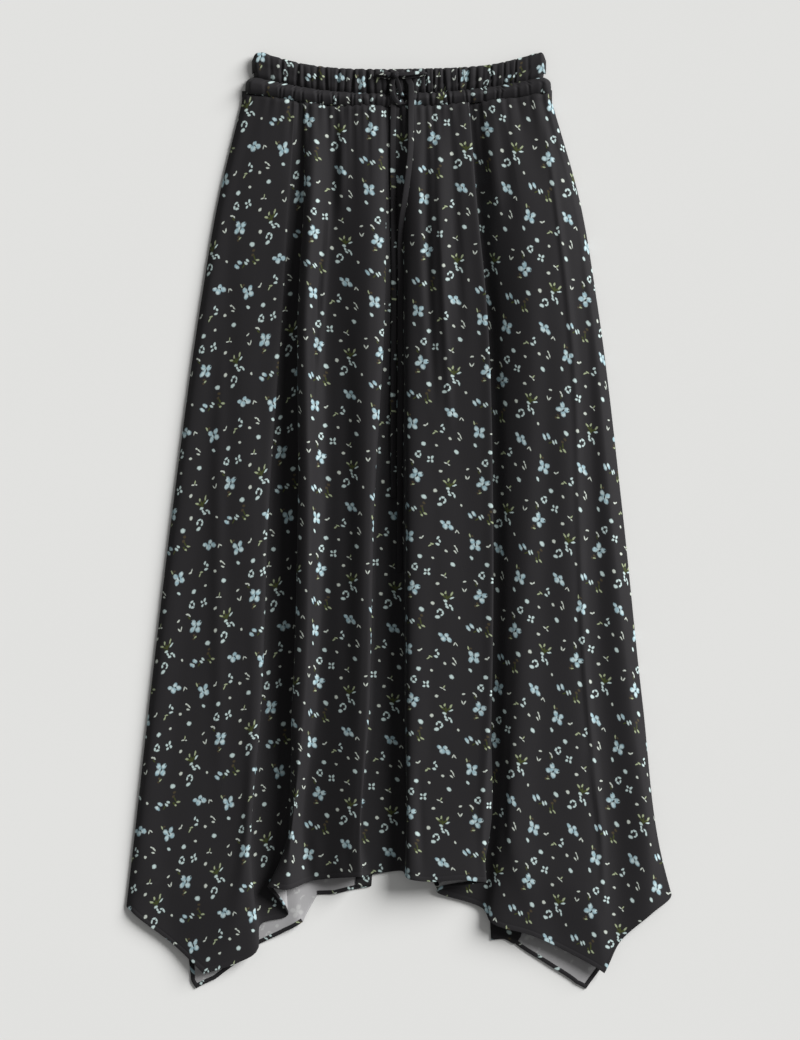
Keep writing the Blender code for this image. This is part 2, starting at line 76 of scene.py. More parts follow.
# One row for each fold line of the front: name, place across at the six drops, place across and drop of
# its end on the hem, and the height of the face at waist, hip, knee and hem.
FRONT_FOLDS = (
    ("side_left", (-156.5, -180.5, -197.5, -225.0, -249.0, -267.0), (-272.0, 853.0), (EDGE_Z,) * 4),
    ("left_roll", (-151.5, -175.0, -192.0, -219.5, -243.5, -261.0), (-266.0, 859.5), (6.0, 6.2, 6.5, 6.5)),
    ("left_hollow", (-138.5, -163.5, -172.5, -193.5, -218.5, -230.5), (-224.5, 892.0), (7.0, 7.0, 8.0, 7.2)),
    ("left_swell", (-126.5, -150.5, -154.5, -155.5, -155.5, -164.5), (-194.5, 920.5), (8.2, 8.0, 13.5, 12.0)),
    ("left_crest", (-114.5, -126.5, -136.5, -140.5, -143.5, -153.0), (-161.5, 910.0), (8.4, 9.0, 14.0, 14.5)),
    ("a_left_lip", (-104.5, -110.0, -115.5, -129.5, -137.0, -147.0), (-139.5, 894.0), (8.0, 9.0, 12.5, 12.5)),
    ("a_left_foot", (-102.5, -109.0, -115.0, -129.0, -136.5, -146.5), (-139.0, 874.0), (7.4, 8.2, 4.5, 5.5)),
    ("a_right_foot", (-95.5, -94.5, -99.0, -99.0, -103.5, -113.5), (-111.0, 861.5), (7.4, 8.8, 4.5, 5.5)),
    ("a_right_lip", (-93.5, -94.5, -100.0, -99.8, -106.0, -119.5), (-131.0, 833.5), (8.5, 12.5, 18.5, 15.5)),
    ("mid_left_crest", (-84.5, -87.0, -92.0, -89.5, -93.5, -109.5), (-111.5, 836.0), (9.5, 17.0, 24.0, 20.0)),
    ("mid_left_soft", (-70.5, -70.5, -73.5, -73.5, -82.0, -91.5), (-86.5, 827.8), (7.5, 12.0, 11.5, 7.5)),
    ("left_centre_crest", (-26.5, -25.5, -28.0, -32.0, -37.0, -45.0), (-46.0, 823.4),
     (10.0, 18.5, 23.0, 21.5)),
    ("b_left_lip", (-14.5, -13.0, -14.0, -24.5, -29.5, -37.0), (-36.0, 823.3), (8.5, 15.0, 21.0, 22.0)),
    ("b_left_foot", (-12.5, -11.5, -13.5, -24.0, -29.0, -36.5), (-33.0, 823.0), (7.4, 9.8, 4.5, 5.0)),
    ("b_right_foot", (0.5, 2.5, 2.5, 3.5, 3.5, 3.5), (2.5, 818.0), (7.4, 9.4, 4.5, 5.0)),
    ("b_right_lip", (4.5, 7.5, 8.0, 9.5, 10.0, 9.5), (9.5, 825.0), (8.5, 14.0, 20.0, 19.0)),
    ("right_centre_crest", (12.5, 15.5, 20.5, 38.5, 34.5, 31.5), (33.5, 828.0), (9.5, 17.5, 22.0, 18.5)),
    ("centre_dip", (37.5, 39.5, 48.5, 66.5, 66.5, 63.5), (61.5, 826.0), (8.0, 18.8, 21.4, 19.2)),
    ("overlap_crest", (57.5, 64.5, 76.0, 82.5, 82.0, 78.5), (80.0, 828.0), (9.2, 19.5, 22.0, 19.5)),
    ("overlap_lip", (70.5, 78.0, 87.5, 94.0, 92.5, 86.5), (88.0, 828.5), (9.4, 19.9, 22.6, 20.2)),
    ("overlap_under", (69.8, 77.0, 86.5, 93.0, 91.5, 84.5), (77.5, 830.0), (8.4, 17.5, 19.6, 13.0)),
    ("c_left_foot", (70.0, 77.5, 84.5, 82.0, 70.0, 49.5), (38.5, 839.0), (6.4, 5.0, 4.5, 5.0)),
    ("c_right_foot", (72.5, 80.0, 89.5, 96.0, 94.5, 88.5), (84.5, 856.0), (5.5, 4.5, 4.5, 5.0)),
    ("right_lip", (84.5, 93.5, 103.0, 110.0, 108.0, 101.0), (92.5, 869.5), (8.5, 10.0, 11.0, 12.0)),
    ("right_crest", (101.5, 120.5, 129.0, 128.5, 119.5, 114.5), (132.5, 882.0), (9.5, 15.0, 15.5, 16.0)),
    ("right_soft", (121.5, 144.5, 147.5, 147.5, 145.5, 142.5), (161.5, 895.0), (8.0, 14.0, 14.5, 14.5)),
    ("right_ridge", (137.5, 157.5, 163.5, 169.5, 178.5, 190.5), (205.5, 920.0), (9.5, 13.0, 15.5, 13.5)),
    ("right_hollow", (143.5, 172.0, 184.5, 193.5, 202.5, 216.5), (220.5, 890.0), (8.0, 10.0, 10.5, 9.5)),
    ("right_roll", (149.0, 176.5, 192.5, 211.5, 232.5, 252.0), (252.5, 861.0), (7.5, 8.5, 12.0, 11.5)),
    ("side_right", (153.5, 181.5, 198.5, 223.0, 244.0, 264.5), (273.0, 842.0), (EDGE_Z,) * 4),
)

# The fold lines that end in the points of the hem.
HEM_POINTS = ("left_swell", "right_ridge")

# The grid of the front: its rows, the width of its columns, the fewest of them between two fold lines, those
# at each side that no crease reaches, and how far the first row is tucked in under the channel.
FRONT_ROWS = 158
COLUMN_WIDTH = 2.3
FEWEST_COLUMNS = 5
SIDE_COLUMNS = 4
TOP_TUCK = 2.4

# The share of even spacing in a panel's rows, against rows that crowd towards the waist and the hem.
EVEN_ROWS = 0.45

# The loft of the cloth: how much higher its folds stand over the floor of the valleys than the table says.
VALLEY_Z = 4.5
LOFT = 1.22

# How high the folds still stand at the hem, by place across, and over what length they come down to it.
HEM_LEVELS = (
    (-272.0, 0.55), (-140.0, 0.6), (-125.0, 0.85), (-45.0, 0.9), (10.0, 1.0), (45.0, 1.15), (80.0, 1.0),
    (95.0, 0.75), (150.0, 0.6), (273.0, 0.55),
)
HEM_REACH = 80.0

# The last rows of the front, as lengths from its hem, then the turned hem's swell, the power with which it
# rises and its rounded edge, and the groove of the stitches over it: its length from the hem, its half width
# and its depth. HEM_THICK has how thick the turned hem itself is on the front and on the back.
HEM_ROWS = (9.0, 7.4, 6.2, 5.4, 4.8, 4.2, 3.2, 2.0, 0.9, 0.3)
HEM_THICK = (0.6, 0.7)
HEM_SWELL = 0.12
SWELL_RISE = 0.3
HEM_EDGE = 1.5
HEM_GROOVE = 5.0
GROOVE_HALF_WIDTH = 0.8
GROOVE_DEPTH = 0.16

# Small creases of the front, on top of its folds: name, place across and drop at three points down the
# crease, half its width, and its height above the cloth, less than nothing for a trough. CREASE_FADE is the
# power with which each comes down to its two ends.
CREASES = (
    ("squeezed_fold", (-73.0, 150.0), (-82.0, 280.0), (-88.0, 400.0), 1.6, -3.2),
    ("beside_squeezed_fold", (-69.5, 150.0), (-78.0, 280.0), (-84.0, 410.0), 2.4, 1.8),
    ("left_panel_long", (-176.0, 240.0), (-180.0, 430.0), (-178.0, 760.0), 7.0, 1.6),
    ("left_point_break", (-262.0, 842.0), (-246.0, 830.0), (-228.0, 818.0), 5.0, 1.2),
    ("bright_crease", (146.0, 60.0), (176.5, 330.0), (180.5, 520.0), 3.0, 2.2),
    ("bright_crease_low", (181.0, 430.0), (186.0, 610.0), (206.0, 800.0), 3.0, 2.6),
    ("right_lobe_second", (188.0, 690.0), (201.0, 770.0), (206.0, 860.0), 3.0, 1.8),
    ("right_side_first", (91.0, 62.0), (95.0, 110.0), (101.0, 175.0), 4.0, 2.4),
    ("right_side_trough", (102.0, 58.0), (107.0, 110.0), (114.0, 180.0), 4.0, -2.2),
    ("centre_right_trough", (26.0, 60.0), (29.0, 200.0), (36.0, 360.0), 4.5, -3.6),
    ("centre_right_second", (39.0, 60.0), (43.0, 200.0), (52.0, 380.0), 4.0, 3.0),
    ("centre_right_third", (52.0, 60.0), (57.0, 180.0), (62.0, 300.0), 4.0, -2.8),
    ("centre_low_trough", (20.0, 700.0), (22.0, 770.0), (24.0, 826.0), 4.0, -1.2),
    ("waist_left_trough", (-62.0, 58.0), (-63.5, 110.0), (-66.0, 190.0), 4.5, -2.2),
    ("waist_left_ridge", (-55.0, 58.0), (-56.0, 100.0), (-57.0, 160.0), 4.0, 2.4),
    ("rising_wave", (-52.0, 260.0), (-50.0, 470.0), (-52.0, 700.0), 8.0, -2.2),
    ("hem_wave_left", (-84.0, 770.0), (-82.0, 810.0), (-80.0, 834.0), 7.0, 1.2),
    ("hem_wave_centre", (-52.0, 790.0), (-50.0, 815.0), (-48.0, 830.0), 6.0, -1.0),
)
CREASE_FADE = 0.8

# Gathers that run from the waist seam into the front panel: place across at the seam, how far they lean
# across by their end, how long they are, half their width and their depth.
GATHERS = (
    (-147.0, -6.0, 40.0, 2.4, 0.8), (-128.0, -6.0, 60.0, 3.0, 1.0), (-118.5, -4.0, 44.0, 1.8, 1.4),
    (-107.0, -4.0, 95.0, 1.9, 2.2), (-99.5, -2.0, 60.0, 1.6, 1.8), (-90.0, 1.0, 70.0, 1.8, 1.8),
    (-80.5, -1.0, 46.0, 1.7, 1.6), (-71.0, 2.0, 110.0, 2.0, 2.2), (-63.5, 1.0, 60.0, 1.6, 1.7),
    (-54.0, 2.0, 84.0, 1.9, 2.2), (-46.0, 2.0, 130.0, 1.9, 2.4), (-38.5, 2.0, 52.0, 1.5, 1.7),
    (-31.0, 3.0, 120.0, 1.8, 2.3), (-22.0, 1.0, 64.0, 1.6, 1.7), (-14.0, 1.0, 90.0, 1.6, 1.9),
    (1.0, 1.0, 60.0, 1.6, 1.5), (9.5, 2.0, 66.0, 1.7, 1.7), (18.0, 3.0, 54.0, 1.6, 1.6),
    (26.5, 4.0, 100.0, 1.9, 2.2), (33.5, 6.0, 120.0, 1.9, 2.3), (41.0, 7.0, 70.0, 1.6, 1.7),
    (49.5, 8.0, 105.0, 1.9, 2.1), (58.0, 6.0, 62.0, 1.7, 1.7), (69.0, 5.0, 70.0, 1.8, 1.7),
    (80.5, 8.0, 120.0, 2.2, 2.4), (88.5, 6.0, 80.0, 1.8, 1.9), (97.0, 9.0, 64.0, 1.8, 1.6),
    (107.0, 9.0, 90.0, 2.1, 1.6), (118.0, 10.0, 58.0, 2.1, 1.2), (130.5, 9.0, 60.0, 2.3, 1.0),
    (143.0, 8.0, 44.0, 2.4, 0.8),
)

# How much wider a gather is by its end, the power with which it fades, and the soft ridges beside it, as
# shares of its depth and of its width.
GATHER_SPREAD = 1.2
GATHER_FADE = 1.6
GATHER_RIDGE = 0.45
RIDGE_WIDTH = 2.2

# The hem of the back, from its left side seam to its right one: name, place across, drop, and height.
BACK_HEM = (
    ("side_left", -270.5, 851.0, 0.9),
    ("left_a", -238.5, 879.0, 0.9),
    ("left_b", -208.0, 906.0, 1.0),
    ("left_corner_top", -207.5, 927.0, 1.2),
    ("left_corner", -202.0, 935.6, 1.4),
    ("left_c", -182.5, 926.0, 1.8),
    ("left_d", -161.5, 910.0, 1.4),
    ("left_e", -138.5, 891.0, 1.2),
    ("left_f", -113.5, 879.0, 3.4),
    ("pleat_top", -100.0, 872.0, 5.4),
    ("pleat_foot", -95.5, 869.0, 4.2),
    ("pleat_head", -82.0, 842.0, 0.9),
    ("centre_a", -64.5, 841.5, 1.1),
    ("centre_b", -46.5, 837.0, 1.0),
    ("centre_c", -27.5, 833.5, 1.0),
    ("centre_d", -25.0, 820.0, 0.9),
    ("centre", 1.5, 812.0, 0.9),
    ("centre_e", 31.5, 820.0, 0.9),
    ("centre_f", 38.5, 836.0, 0.9),
    ("right_a", 61.5, 845.0, 0.9),
    ("right_b", 84.5, 853.0, 0.9),
    ("right_c", 91.5, 867.0, 0.9),
    ("fold_corner", 92.9, 887.0, 1.0),
    ("right_d", 105.5, 886.4, 1.0),
    ("right_e", 116.5, 891.0, 1.0),
    ("right_f", 147.5, 911.0, 1.6),
    ("right_g", 177.5, 931.0, 1.4),
    ("right_corner", 187.5, 936.0, 1.2),
    ("right_h", 202.0, 916.0, 1.0),
    ("right_i", 213.5, 896.0, 0.9),
    ("right_j", 241.5, 868.0, 0.9),
    ("side_right", 271.0, 841.0, 0.9),
)

# The grid of the back, how far it stops inside the front's side seams, its height, and the power with which
# its lines turn to the places above as they near the hem.
BACK_ROWS = 90
BACK_STEPS = 5
BACK_INSET = 1.5
BACK_Z = 0.9
HEM_PULL = 9.0

# The corners of cloth that are folded over at the back's hem, each as the places across, drops and heights of
# its upper edge and its lower one, and the runs of the hem between them that are turned up.
BACK_FLAPS = (
    (((91.0, 862.0, 2.2), (104.0, 869.0, 2.2), (123.0, 880.0, 2.6)),
     ((92.6, 887.4, 1.8), (105.5, 886.4, 1.9), (117.0, 891.0, 2.0), (122.0, 884.0, 2.2))),
    (((-43.0, 818.0, 1.8), (-27.4, 816.0, 1.8)), ((-43.0, 834.6, 1.8), (-27.4, 833.2, 1.8))),
)
FLAP_COLUMNS = 14
FLAP_ROWS = 7
BACK_HEM_RUNS = (("side_left", "pleat_foot"), ("pleat_head", "right_c"), ("right_e", "side_right"))

# The waist edge, the seam under the elastic casing and the seam under the drawstring channel:
# place across as a share of the half width there, and drop.
WAIST_EDGE = (
    (-1.0, 8.0), (-0.985, 3.0), (-0.95, 0.4), (-0.86, 3.8), (-0.68, 10.6), (-0.43, 15.6), (-0.2, 16.8),
    (0.1, 16.4), (0.46, 14.6), (0.64, 11.9), (0.86, 4.3), (0.94, 1.2), (0.985, 2.4), (1.0, 8.0),
)
CASING_SEAM = (
    (-1.0, 25.0), (-0.8, 31.0), (-0.55, 37.5), (-0.3, 40.5), (0.1, 41.0), (0.46, 38.0), (0.68, 34.0),
    (1.0, 25.0),
)
CHANNEL_SEAM = (
    (-1.0, 41.0), (-0.8, 45.0), (-0.55, 51.5), (-0.3, 54.0), (0.1, 54.0), (0.46, 51.0), (0.75, 45.5),
    (1.0, 40.0),
)

# Creases of the elastic casing and of the channel: place across, and depth at its top and at its foot.
CASING_CREASES = (
    (-128.0, 0.4, 0.9), (-116.5, 2.4, 1.6), (-111.5, 0.4, 1.2), (-100.5, 2.8, 2.2), (-95.0, 0.6, 1.6),
    (-88.0, 0.3, 0.8), (-81.5, 2.2, 1.4), (-73.0, 1.6, 2.6), (-68.5, 0.3, 0.8), (-60.0, 2.8, 1.8),
    (-53.0, 0.5, 1.4), (-45.5, 2.8, 2.6), (-40.5, 0.5, 0.9), (-32.0, 2.6, 2.8), (-24.5, 2.2, 1.4),
    (-17.5, 0.4, 1.0), (-10.5, 2.6, 2.2), (6.0, 0.8, 1.4), (13.5, 1.6, 0.6), (20.0, 0.4, 1.6),
    (27.0, 1.8, 2.4), (35.0, 2.8, 2.2), (39.5, 0.4, 1.2), (45.0, 2.2, 2.8), (52.0, 0.4, 1.0),
    (59.5, 2.8, 2.0), (64.0, 0.5, 1.4), (69.0, 2.4, 2.6), (77.5, 1.4, 2.0), (84.5, 0.3, 0.8),
    (92.5, 2.8, 2.4), (98.5, 0.5, 0.9), (105.5, 2.2, 1.2), (111.0, 0.3, 1.0), (117.0, 1.8, 2.0),
    (129.5, 0.4, 0.9),
)
CHANNEL_CREASES = (
    (-133.0, 0.4, 0.9), (-118.5, 1.6, 0.8), (-115.0, 0.5, 1.2), (-104.5, 1.9, 1.2), (-96.0, 0.6, 1.6),
    (-81.0, 1.4, 1.0), (-77.5, 0.8, 1.9), (-66.0, 1.0, 1.6), (-61.0, 1.8, 1.2), (-48.5, 1.2, 1.6),
    (-44.5, 2.2, 1.6), (-36.0, 0.6, 1.9), (-29.0, 2.0, 1.0), (-23.5, 1.0, 1.8), (-12.5, 1.6, 1.6),
    (12.5, 1.2, 1.8), (18.0, 1.8, 1.0), (31.0, 1.5, 2.2), (36.5, 1.8, 0.9), (49.0, 2.0, 2.2),
    (53.5, 0.9, 1.6), (67.5, 1.9, 1.4), (72.0, 0.8, 1.6), (85.0, 1.8, 1.8), (98.0, 0.8, 1.3),
    (103.0, 1.7, 0.8), (118.5, 0.7, 1.3), (130.0, 1.3, 0.5), (143.0, 0.6, 0.9),
)

# How the creases of the bands differ: half their width and how much it varies, how far they wander across on
# their way down, the waves of the two along the waist, and how far they pull the waist edge down. Each has
# a trough, and soft shoulders as shares of its depth and of its width.
CREASE_HALF_WIDTH = 1.35
CREASE_SPREAD = 0.5
SPREAD_WAVE = 2.3
CREASE_WANDER = 2.4
WANDER_WAVE = 1.7
EDGE_WAVE = 0.4
CREASE_GAIN = 1.35
SHOULDER = 0.35
SHOULDER_WIDTH = 2.4

# The ends of the waist edge, of the pinched seam under the casing and of the channel, as places across, the
# share of a band's half width over which it rounds off to its ends, how far its creases always stay over the
# height of its ends, and how many columns it has.
WAIST_ENDS = (-146.5, 147.5)
PINCH_ENDS = (-144.6, 144.6)
CHANNEL_ENDS = (-153.0, 152.5)
END_SHARE = 0.035
LEAST_RISE = 0.5
BAND_COLUMNS = 330

# The bands of the waist: name, the solid that each stands for, its creases, the height of its two ends, how
# many rows it is made in, its thickness, and its rows from top to foot. A row has its two ends, how far in
# from them it stops, its table of drops, its drop past that table, its height, and its share of the creases.
BANDS = (
    ("front_casing", "front_elastic_casing", CASING_CREASES, 2.8, 34, 1.2, (
        (WAIST_ENDS, 1.5, WAIST_EDGE, 1.6, 4.2, 0.2), (WAIST_ENDS, 0.6, WAIST_EDGE, 0.2, 6.0, 0.4),
        (WAIST_ENDS, 0.0, WAIST_EDGE, 0.9, 8.0, 0.7), (WAIST_ENDS, 0.0, WAIST_EDGE, 3.5, 9.4, 0.9),
        (WAIST_ENDS, 0.0, WAIST_EDGE, 9.0, 9.9, 1.0), (WAIST_ENDS, 0.5, WAIST_EDGE, 14.0, 9.4, 1.1),
        (PINCH_ENDS, 0.0, CASING_SEAM, -4.0, 8.8, 1.1), (PINCH_ENDS, 0.0, CASING_SEAM, 0.3, 7.0, 0.8))),
    ("front_channel", "front_drawstring_channel", CHANNEL_CREASES, 2.8, 34, 1.2, (
        (PINCH_ENDS, 0.0, CASING_SEAM, -0.2, 7.0, 0.8), (CHANNEL_ENDS, 4.0, CASING_SEAM, 1.6, 9.6, 0.9),
        (CHANNEL_ENDS, 0.8, CASING_SEAM, 4.6, 11.4, 1.0), (CHANNEL_ENDS, 0.0, CHANNEL_SEAM, -5.6, 11.3, 1.0),
        (CHANNEL_ENDS, 0.0, CHANNEL_SEAM, -2.0, 10.0, 0.9),
        (CHANNEL_ENDS, 0.0, CHANNEL_SEAM, 0.3, 8.4, 0.8))),
    ("back_casing", "back_elastic_casing", CASING_CREASES, 1.4, 12, 1.1, (
        (WAIST_ENDS, 2.0, WAIST_EDGE, 1.4, 1.9, 0.2), (WAIST_ENDS, 2.0, WAIST_EDGE, 12.0, 2.0, 0.2),
        (PINCH_ENDS, 0.0, CASING_SEAM, 0.0, 1.9, 0.2))),
    ("back_channel", "back_drawstring_channel", CHANNEL_CREASES, 1.4, 12, 1.1, (
        (PINCH_ENDS, 0.0, CASING_SEAM, 0.0, 1.9, 0.2), (CHANNEL_ENDS, 1.5, CHANNEL_SEAM, -6.0, 2.0, 0.2),
        (CHANNEL_ENDS, 1.5, CHANNEL_SEAM, 0.0, 1.9, 0.2))),
)

# The drawstring: its width, its thickness, the bow's thickness, how far the strings lie over the cloth, the
# length of a step along them, how far they lean to either side and how far that wave runs, both in radians,
# how many sides the tube has and how round it is. Then its free ends: name, the solid that each stands for,
# where its print starts, and its route as places across and drops.
STRING_WIDTH = 6.2
STRING_THICK = 1.5
BOW_THICK = 1.3
STRING_GAP = 0.3
STRING_STEP = 7.0
STRING_LEAN = 0.3
STRING_WAVE = 9.0
RIBBON_SIDES = 12
RIBBON_ROUNDING = 0.6
STRINGS = (
    ("left_string", "drawstring_left_end", 0.011, (
        (-4.5, 30.0), (-5.0, 50.0), (-5.5, 90.0), (-5.0, 150.0), (-4.5, 230.0), (-5.0, 320.0),
        (-5.0, 400.0), (-4.5, 446.0))),
    ("right_string", "drawstring_right_end", 0.049, (
        (8.5, 25.5), (11.8, 31.0), (12.7, 42.0), (12.5, 60.0), (12.0, 98.0), (7.5, 140.0), (3.0, 172.0),
        (2.0, 230.0), (2.0, 330.0), (1.5, 430.0), (1.5, 519.0))),
)

# The bow's ribbons: name, the solid that each stands for, and its places across, drops, heights over the
# casing and widths. LOOP_SIDE is the direction across the loops, and the feeds lie flat, leaning by FEED_LEAN
# in radians. BOW_POINTS is how many points a ribbon has for each row of its table.
BOW_RIBBONS = (
    ("right_loop", ["bow_right_loop"], (
        (-1.0, 24.4, 1.2, 3.4), (6.0, 25.2, 0.9, 4.2), (14.0, 24.6, 0.9, 4.4), (21.5, 23.6, 1.0, 4.0),
        (26.0, 22.8, 1.3, 3.2), (28.2, 22.0, 2.4, 2.2), (26.5, 21.5, 3.7, 2.8), (21.0, 21.4, 4.1, 3.8),
        (13.0, 21.9, 4.4, 4.3), (5.0, 22.8, 4.4, 4.0), (-1.5, 23.0, 3.6, 3.2))),
    ("left_loop", ["bow_left_loop"], (
        (-6.0, 24.2, 1.2, 3.2), (-11.0, 24.8, 0.9, 4.2), (-17.0, 24.6, 0.9, 4.4), (-21.4, 23.8, 1.3, 3.2),
        (-23.2, 23.0, 2.3, 2.2), (-21.4, 22.4, 3.5, 2.9), (-16.5, 22.0, 3.9, 4.0), (-11.0, 22.2, 4.0, 4.0),
        (-6.0, 22.8, 3.6, 3.2))),
    ("left_feed", [], (
        (4.5, 48.5, -1.6, 4.0), (1.0, 51.0, 1.8, 4.6), (-3.0, 49.0, 3.2, 5.0), (-5.8, 43.5, 3.4, 5.0),
        (-6.6, 35.0, 2.6, 5.0), (-5.2, 27.0, 2.4, 4.2))),
    ("right_feed", [], (
        (4.0, 45.0, -1.6, 4.0), (2.2, 41.5, 2.0, 4.4), (0.6, 36.0, 2.5, 4.6), (-0.8, 30.5, 2.5, 4.4),
        (-2.6, 25.5, 2.4, 3.6))),
)
LOOP_SIDE = (0.05, 1.0, -0.35)
FEED_LEAN = 0.25
BOW_POINTS = 6

# Where the height that the bow rests at is felt for, how far around, where its print starts, the string that
# it goes with, and the height in metres that heights are felt from.
BOW_DROP = 22.5
BOW_PLACES = range(-22, 28, 3)
BOW_REACH = 1.5
BOW_CLOTH = 0.041
LOOK_DOWN_FROM = 0.1

# The knot: its middle as place across and drop, its height over the casing, its half sizes, how many points
# it has around and from top to foot, how far from its poles they stop in radians, the size of its print both
# ways, the way that its wraps are stacked, and the hollows between them, each with its place, its half width
# and its depth.
KNOT = (-3.5, 23.0)
KNOT_RISE = 3.4
KNOT_SIZE = (4.2, 4.2, 3.7)
KNOT_POINTS = (37, 25)
KNOT_POLE = 0.02
KNOT_PRINT = (5.0, 6.0)
KNOT_WRAP = (0.5, 0.9)
KNOT_HOLLOWS = ((0.32, 0.13, 0.13), (-0.38, 0.12, 0.11))

# The opening of the channel where the string comes out: its middle, its half sizes and its depth, then as
# shares of those half sizes, where its wall starts and how wide it is, and where the lip lies around it and
# how wide that is, with its height.
OPENING = (4.6, 46.6)
OPENING_SIZE = (5.0, 4.2)
OPENING_DEPTH = 6.5
OPENING_WALL = (1.1, 0.3)
OPENING_LIP = (1.3, 0.2, 0.7)

# How the print lies on each strip of the front between its deep folds: the last fold line of the strip,
# the fold line that it is measured from, where one repeat across and one repeat along end up, and where
# a corner of a repeat lies, as place across and drop.
PRINT_STRIPS = (
    ("a_right_foot", "left_crest", (60.0, -31.0), (25.0, 112.0), (-187.1, 364.6)),
    ("c_left_foot", "b_right_foot", (67.0, 9.0), (-2.0, 112.0), (31.0, 242.0)),
    ("side_right", "right_crest", (62.0, 30.0), (-24.0, 110.0), (150.6, 398.7)),
)

# One repeat's size, how repeats lie on the bands and on the back, given in the same way, and how much longer
# the bands' cloth is than their folds show.
REPEAT = (67.0, 112.0)
BAND_PRINT = ((62.0, -26.0), (26.0, 109.0), (9.0, -12.0))
BACK_PRINT = ((67.0, 6.0), (4.0, 112.0))
GATHERED = 1.2


def srgb(red, green, blue):
    """A colour from its screen values, 0 to 255, as the linear values that the nodes use."""
    linear = []
    for value in (red, green, blue):
        share = value / 255
        linear.append(share / 12.92 if share <= 0.04045 else ((share + 0.055) / 1.055) ** 2.4)
    return (*linear, 1.0)


def place(across, drop, height):
    """Points in metres from arrays of places across, drops and heights in millimetres."""
    across, drop, height = np.broadcast_arrays(across, drop, height)
    return np.stack([across * MM, WAIST_Y - drop * MM, height * MM], axis=-1)


def grid_points(grid):
    """Points in metres from a grid of (across, drop, height) in millimetres."""
    return place(grid[..., 0], grid[..., 1], grid[..., 2])


def cubic(t, start, end, leaving, reaching):
    """A cubic from start to end as t goes from 0 to 1, leaving and reaching them at the given slopes."""
    return ((2 * t ** 3 - 3 * t ** 2 + 1) * start + (t ** 3 - 2 * t ** 2 + t) * leaving
            + (3 * t ** 2 - 2 * t ** 3) * end + (t ** 3 - t ** 2) * reaching)


def smooth_values(stations, values, at):
    """A smooth curve through values given at stations, at an array of places, held level past its ends."""
    stations = np.asarray(stations, float)
    values = np.asarray(values, float)
    at = np.clip(np.asarray(at, float), stations[0], stations[-1])
    slopes = np.gradient(values, stations)
    low = np.clip(np.searchsorted(stations, at, side="right") - 1, 0, len(stations) - 2)
    span = stations[low + 1] - stations[low]
    t = (at - stations[low]) / span
    return cubic(t, values[low], values[low + 1], span * slopes[low], span * slopes[low + 1])


def smooth_step(share):
    """A share from 0 to 1, eased at both ends."""
    share = np.clip(share, 0, 1)
    return share * share * (3 - 2 * share)


def table_values(table, at):
    """Smooth values from a table of (place, value) rows."""
    return smooth_values([row[0] for row in table], [row[1] for row in table], at)


def fold_index(name):
    """Where a fold line stands in the front's table."""
    return [row[0] for row in FRONT_FOLDS].index(name)


def rounded_rows(points, steps, corners=()):
    """Rounded lines through rows of points (rows, lines, 3): the place across and the height follow a
    centripetal curve, and the drop a smooth one that keeps its corners."""
    rows, lines, _ = points.shape
    ends = np.concatenate([points[:, :1], points, points[:, -1:]], axis=1)
    flat = ends[:, :, (0, 2)]
    gaps = np.sqrt(np.maximum(np.linalg.norm(np.diff(flat, axis=1), axis=2), 0.01))
    knots = np.concatenate([np.zeros((rows, 1)), np.cumsum(gaps, axis=1)], axis=1)
    drops = points[:, :, 1]
    at = knots[:, 1:-1]
    chords = np.diff(drops, axis=1) / np.diff(at, axis=1)
    into = np.concatenate([chords[:, :1], chords], axis=1)
    out_of = np.concatenate([chords, chords[:, -1:]], axis=1)
    middle = 0.5 * (into + out_of)
    middle[into * out_of < 0] = 0.0
    for corner in corners:
        middle[:, corner] = np.nan
    columns = []
    for i in range(lines - 1):
        share = np.arange(steps[i] + (i == lines - 2)) / steps[i]
        t0, t1, t2, t3 = (knots[:, i + j, None] for j in range(4))
        t = t1 + (t2 - t1) * share
        p0, p1, p2, p3 = (flat[:, i + j, None, :] for j in range(4))

        def mixed(a, b, low, high):
            weight = ((t - low) / (high - low))[..., None]
            return a * (1 - weight) + b * weight

        a1, a2, a3 = mixed(p0, p1, t0, t1), mixed(p1, p2, t1, t2), mixed(p2, p3, t2, t3)
        shape = mixed(mixed(a1, a2, t0, t2), mixed(a2, a3, t1, t3), t1, t2)
        span = t2 - t1
        left = np.where(np.isnan(middle[:, i, None]), out_of[:, i, None], middle[:, i, None])
        right = np.where(np.isnan(middle[:, i + 1, None]), into[:, i + 1, None], middle[:, i + 1, None])
        drop = cubic(share, drops[:, i, None], drops[:, i + 1, None], span * left, span * right)
        columns.append(np.stack([shape[..., 0], drop, shape[..., 1]], axis=-1))
    return np.concatenate(columns, axis=1)


def row_shares(count):
    """Shares of the way down a panel, closer together towards the waist seam and the hem."""
    t = np.linspace(0.0, 1.0, count)
    return EVEN_ROWS * t + (1 - EVEN_ROWS) * 0.5 * (1 - np.cos(np.pi * t))


def front_steps():
    """How many columns each stretch between two fold lines has, from its width at the knee."""
    steps = []
    for before, after in zip(FRONT_FOLDS, FRONT_FOLDS[1:]):
        width = math.hypot(after[1][4] - before[1][4], after[3][2] - before[3][2])
        steps.append(max(FEWEST_COLUMNS, round(width / COLUMN_WIDTH)))
    return steps


def front_top_drop(across):
    """The drop of the seam under the channel at a place across."""
    across = np.asarray(across, float)
    share = across / np.where(across > 0, CHANNEL_ENDS[1], -CHANNEL_ENDS[0])
    return table_values(CHANNEL_SEAM, np.clip(share, -1, 1))


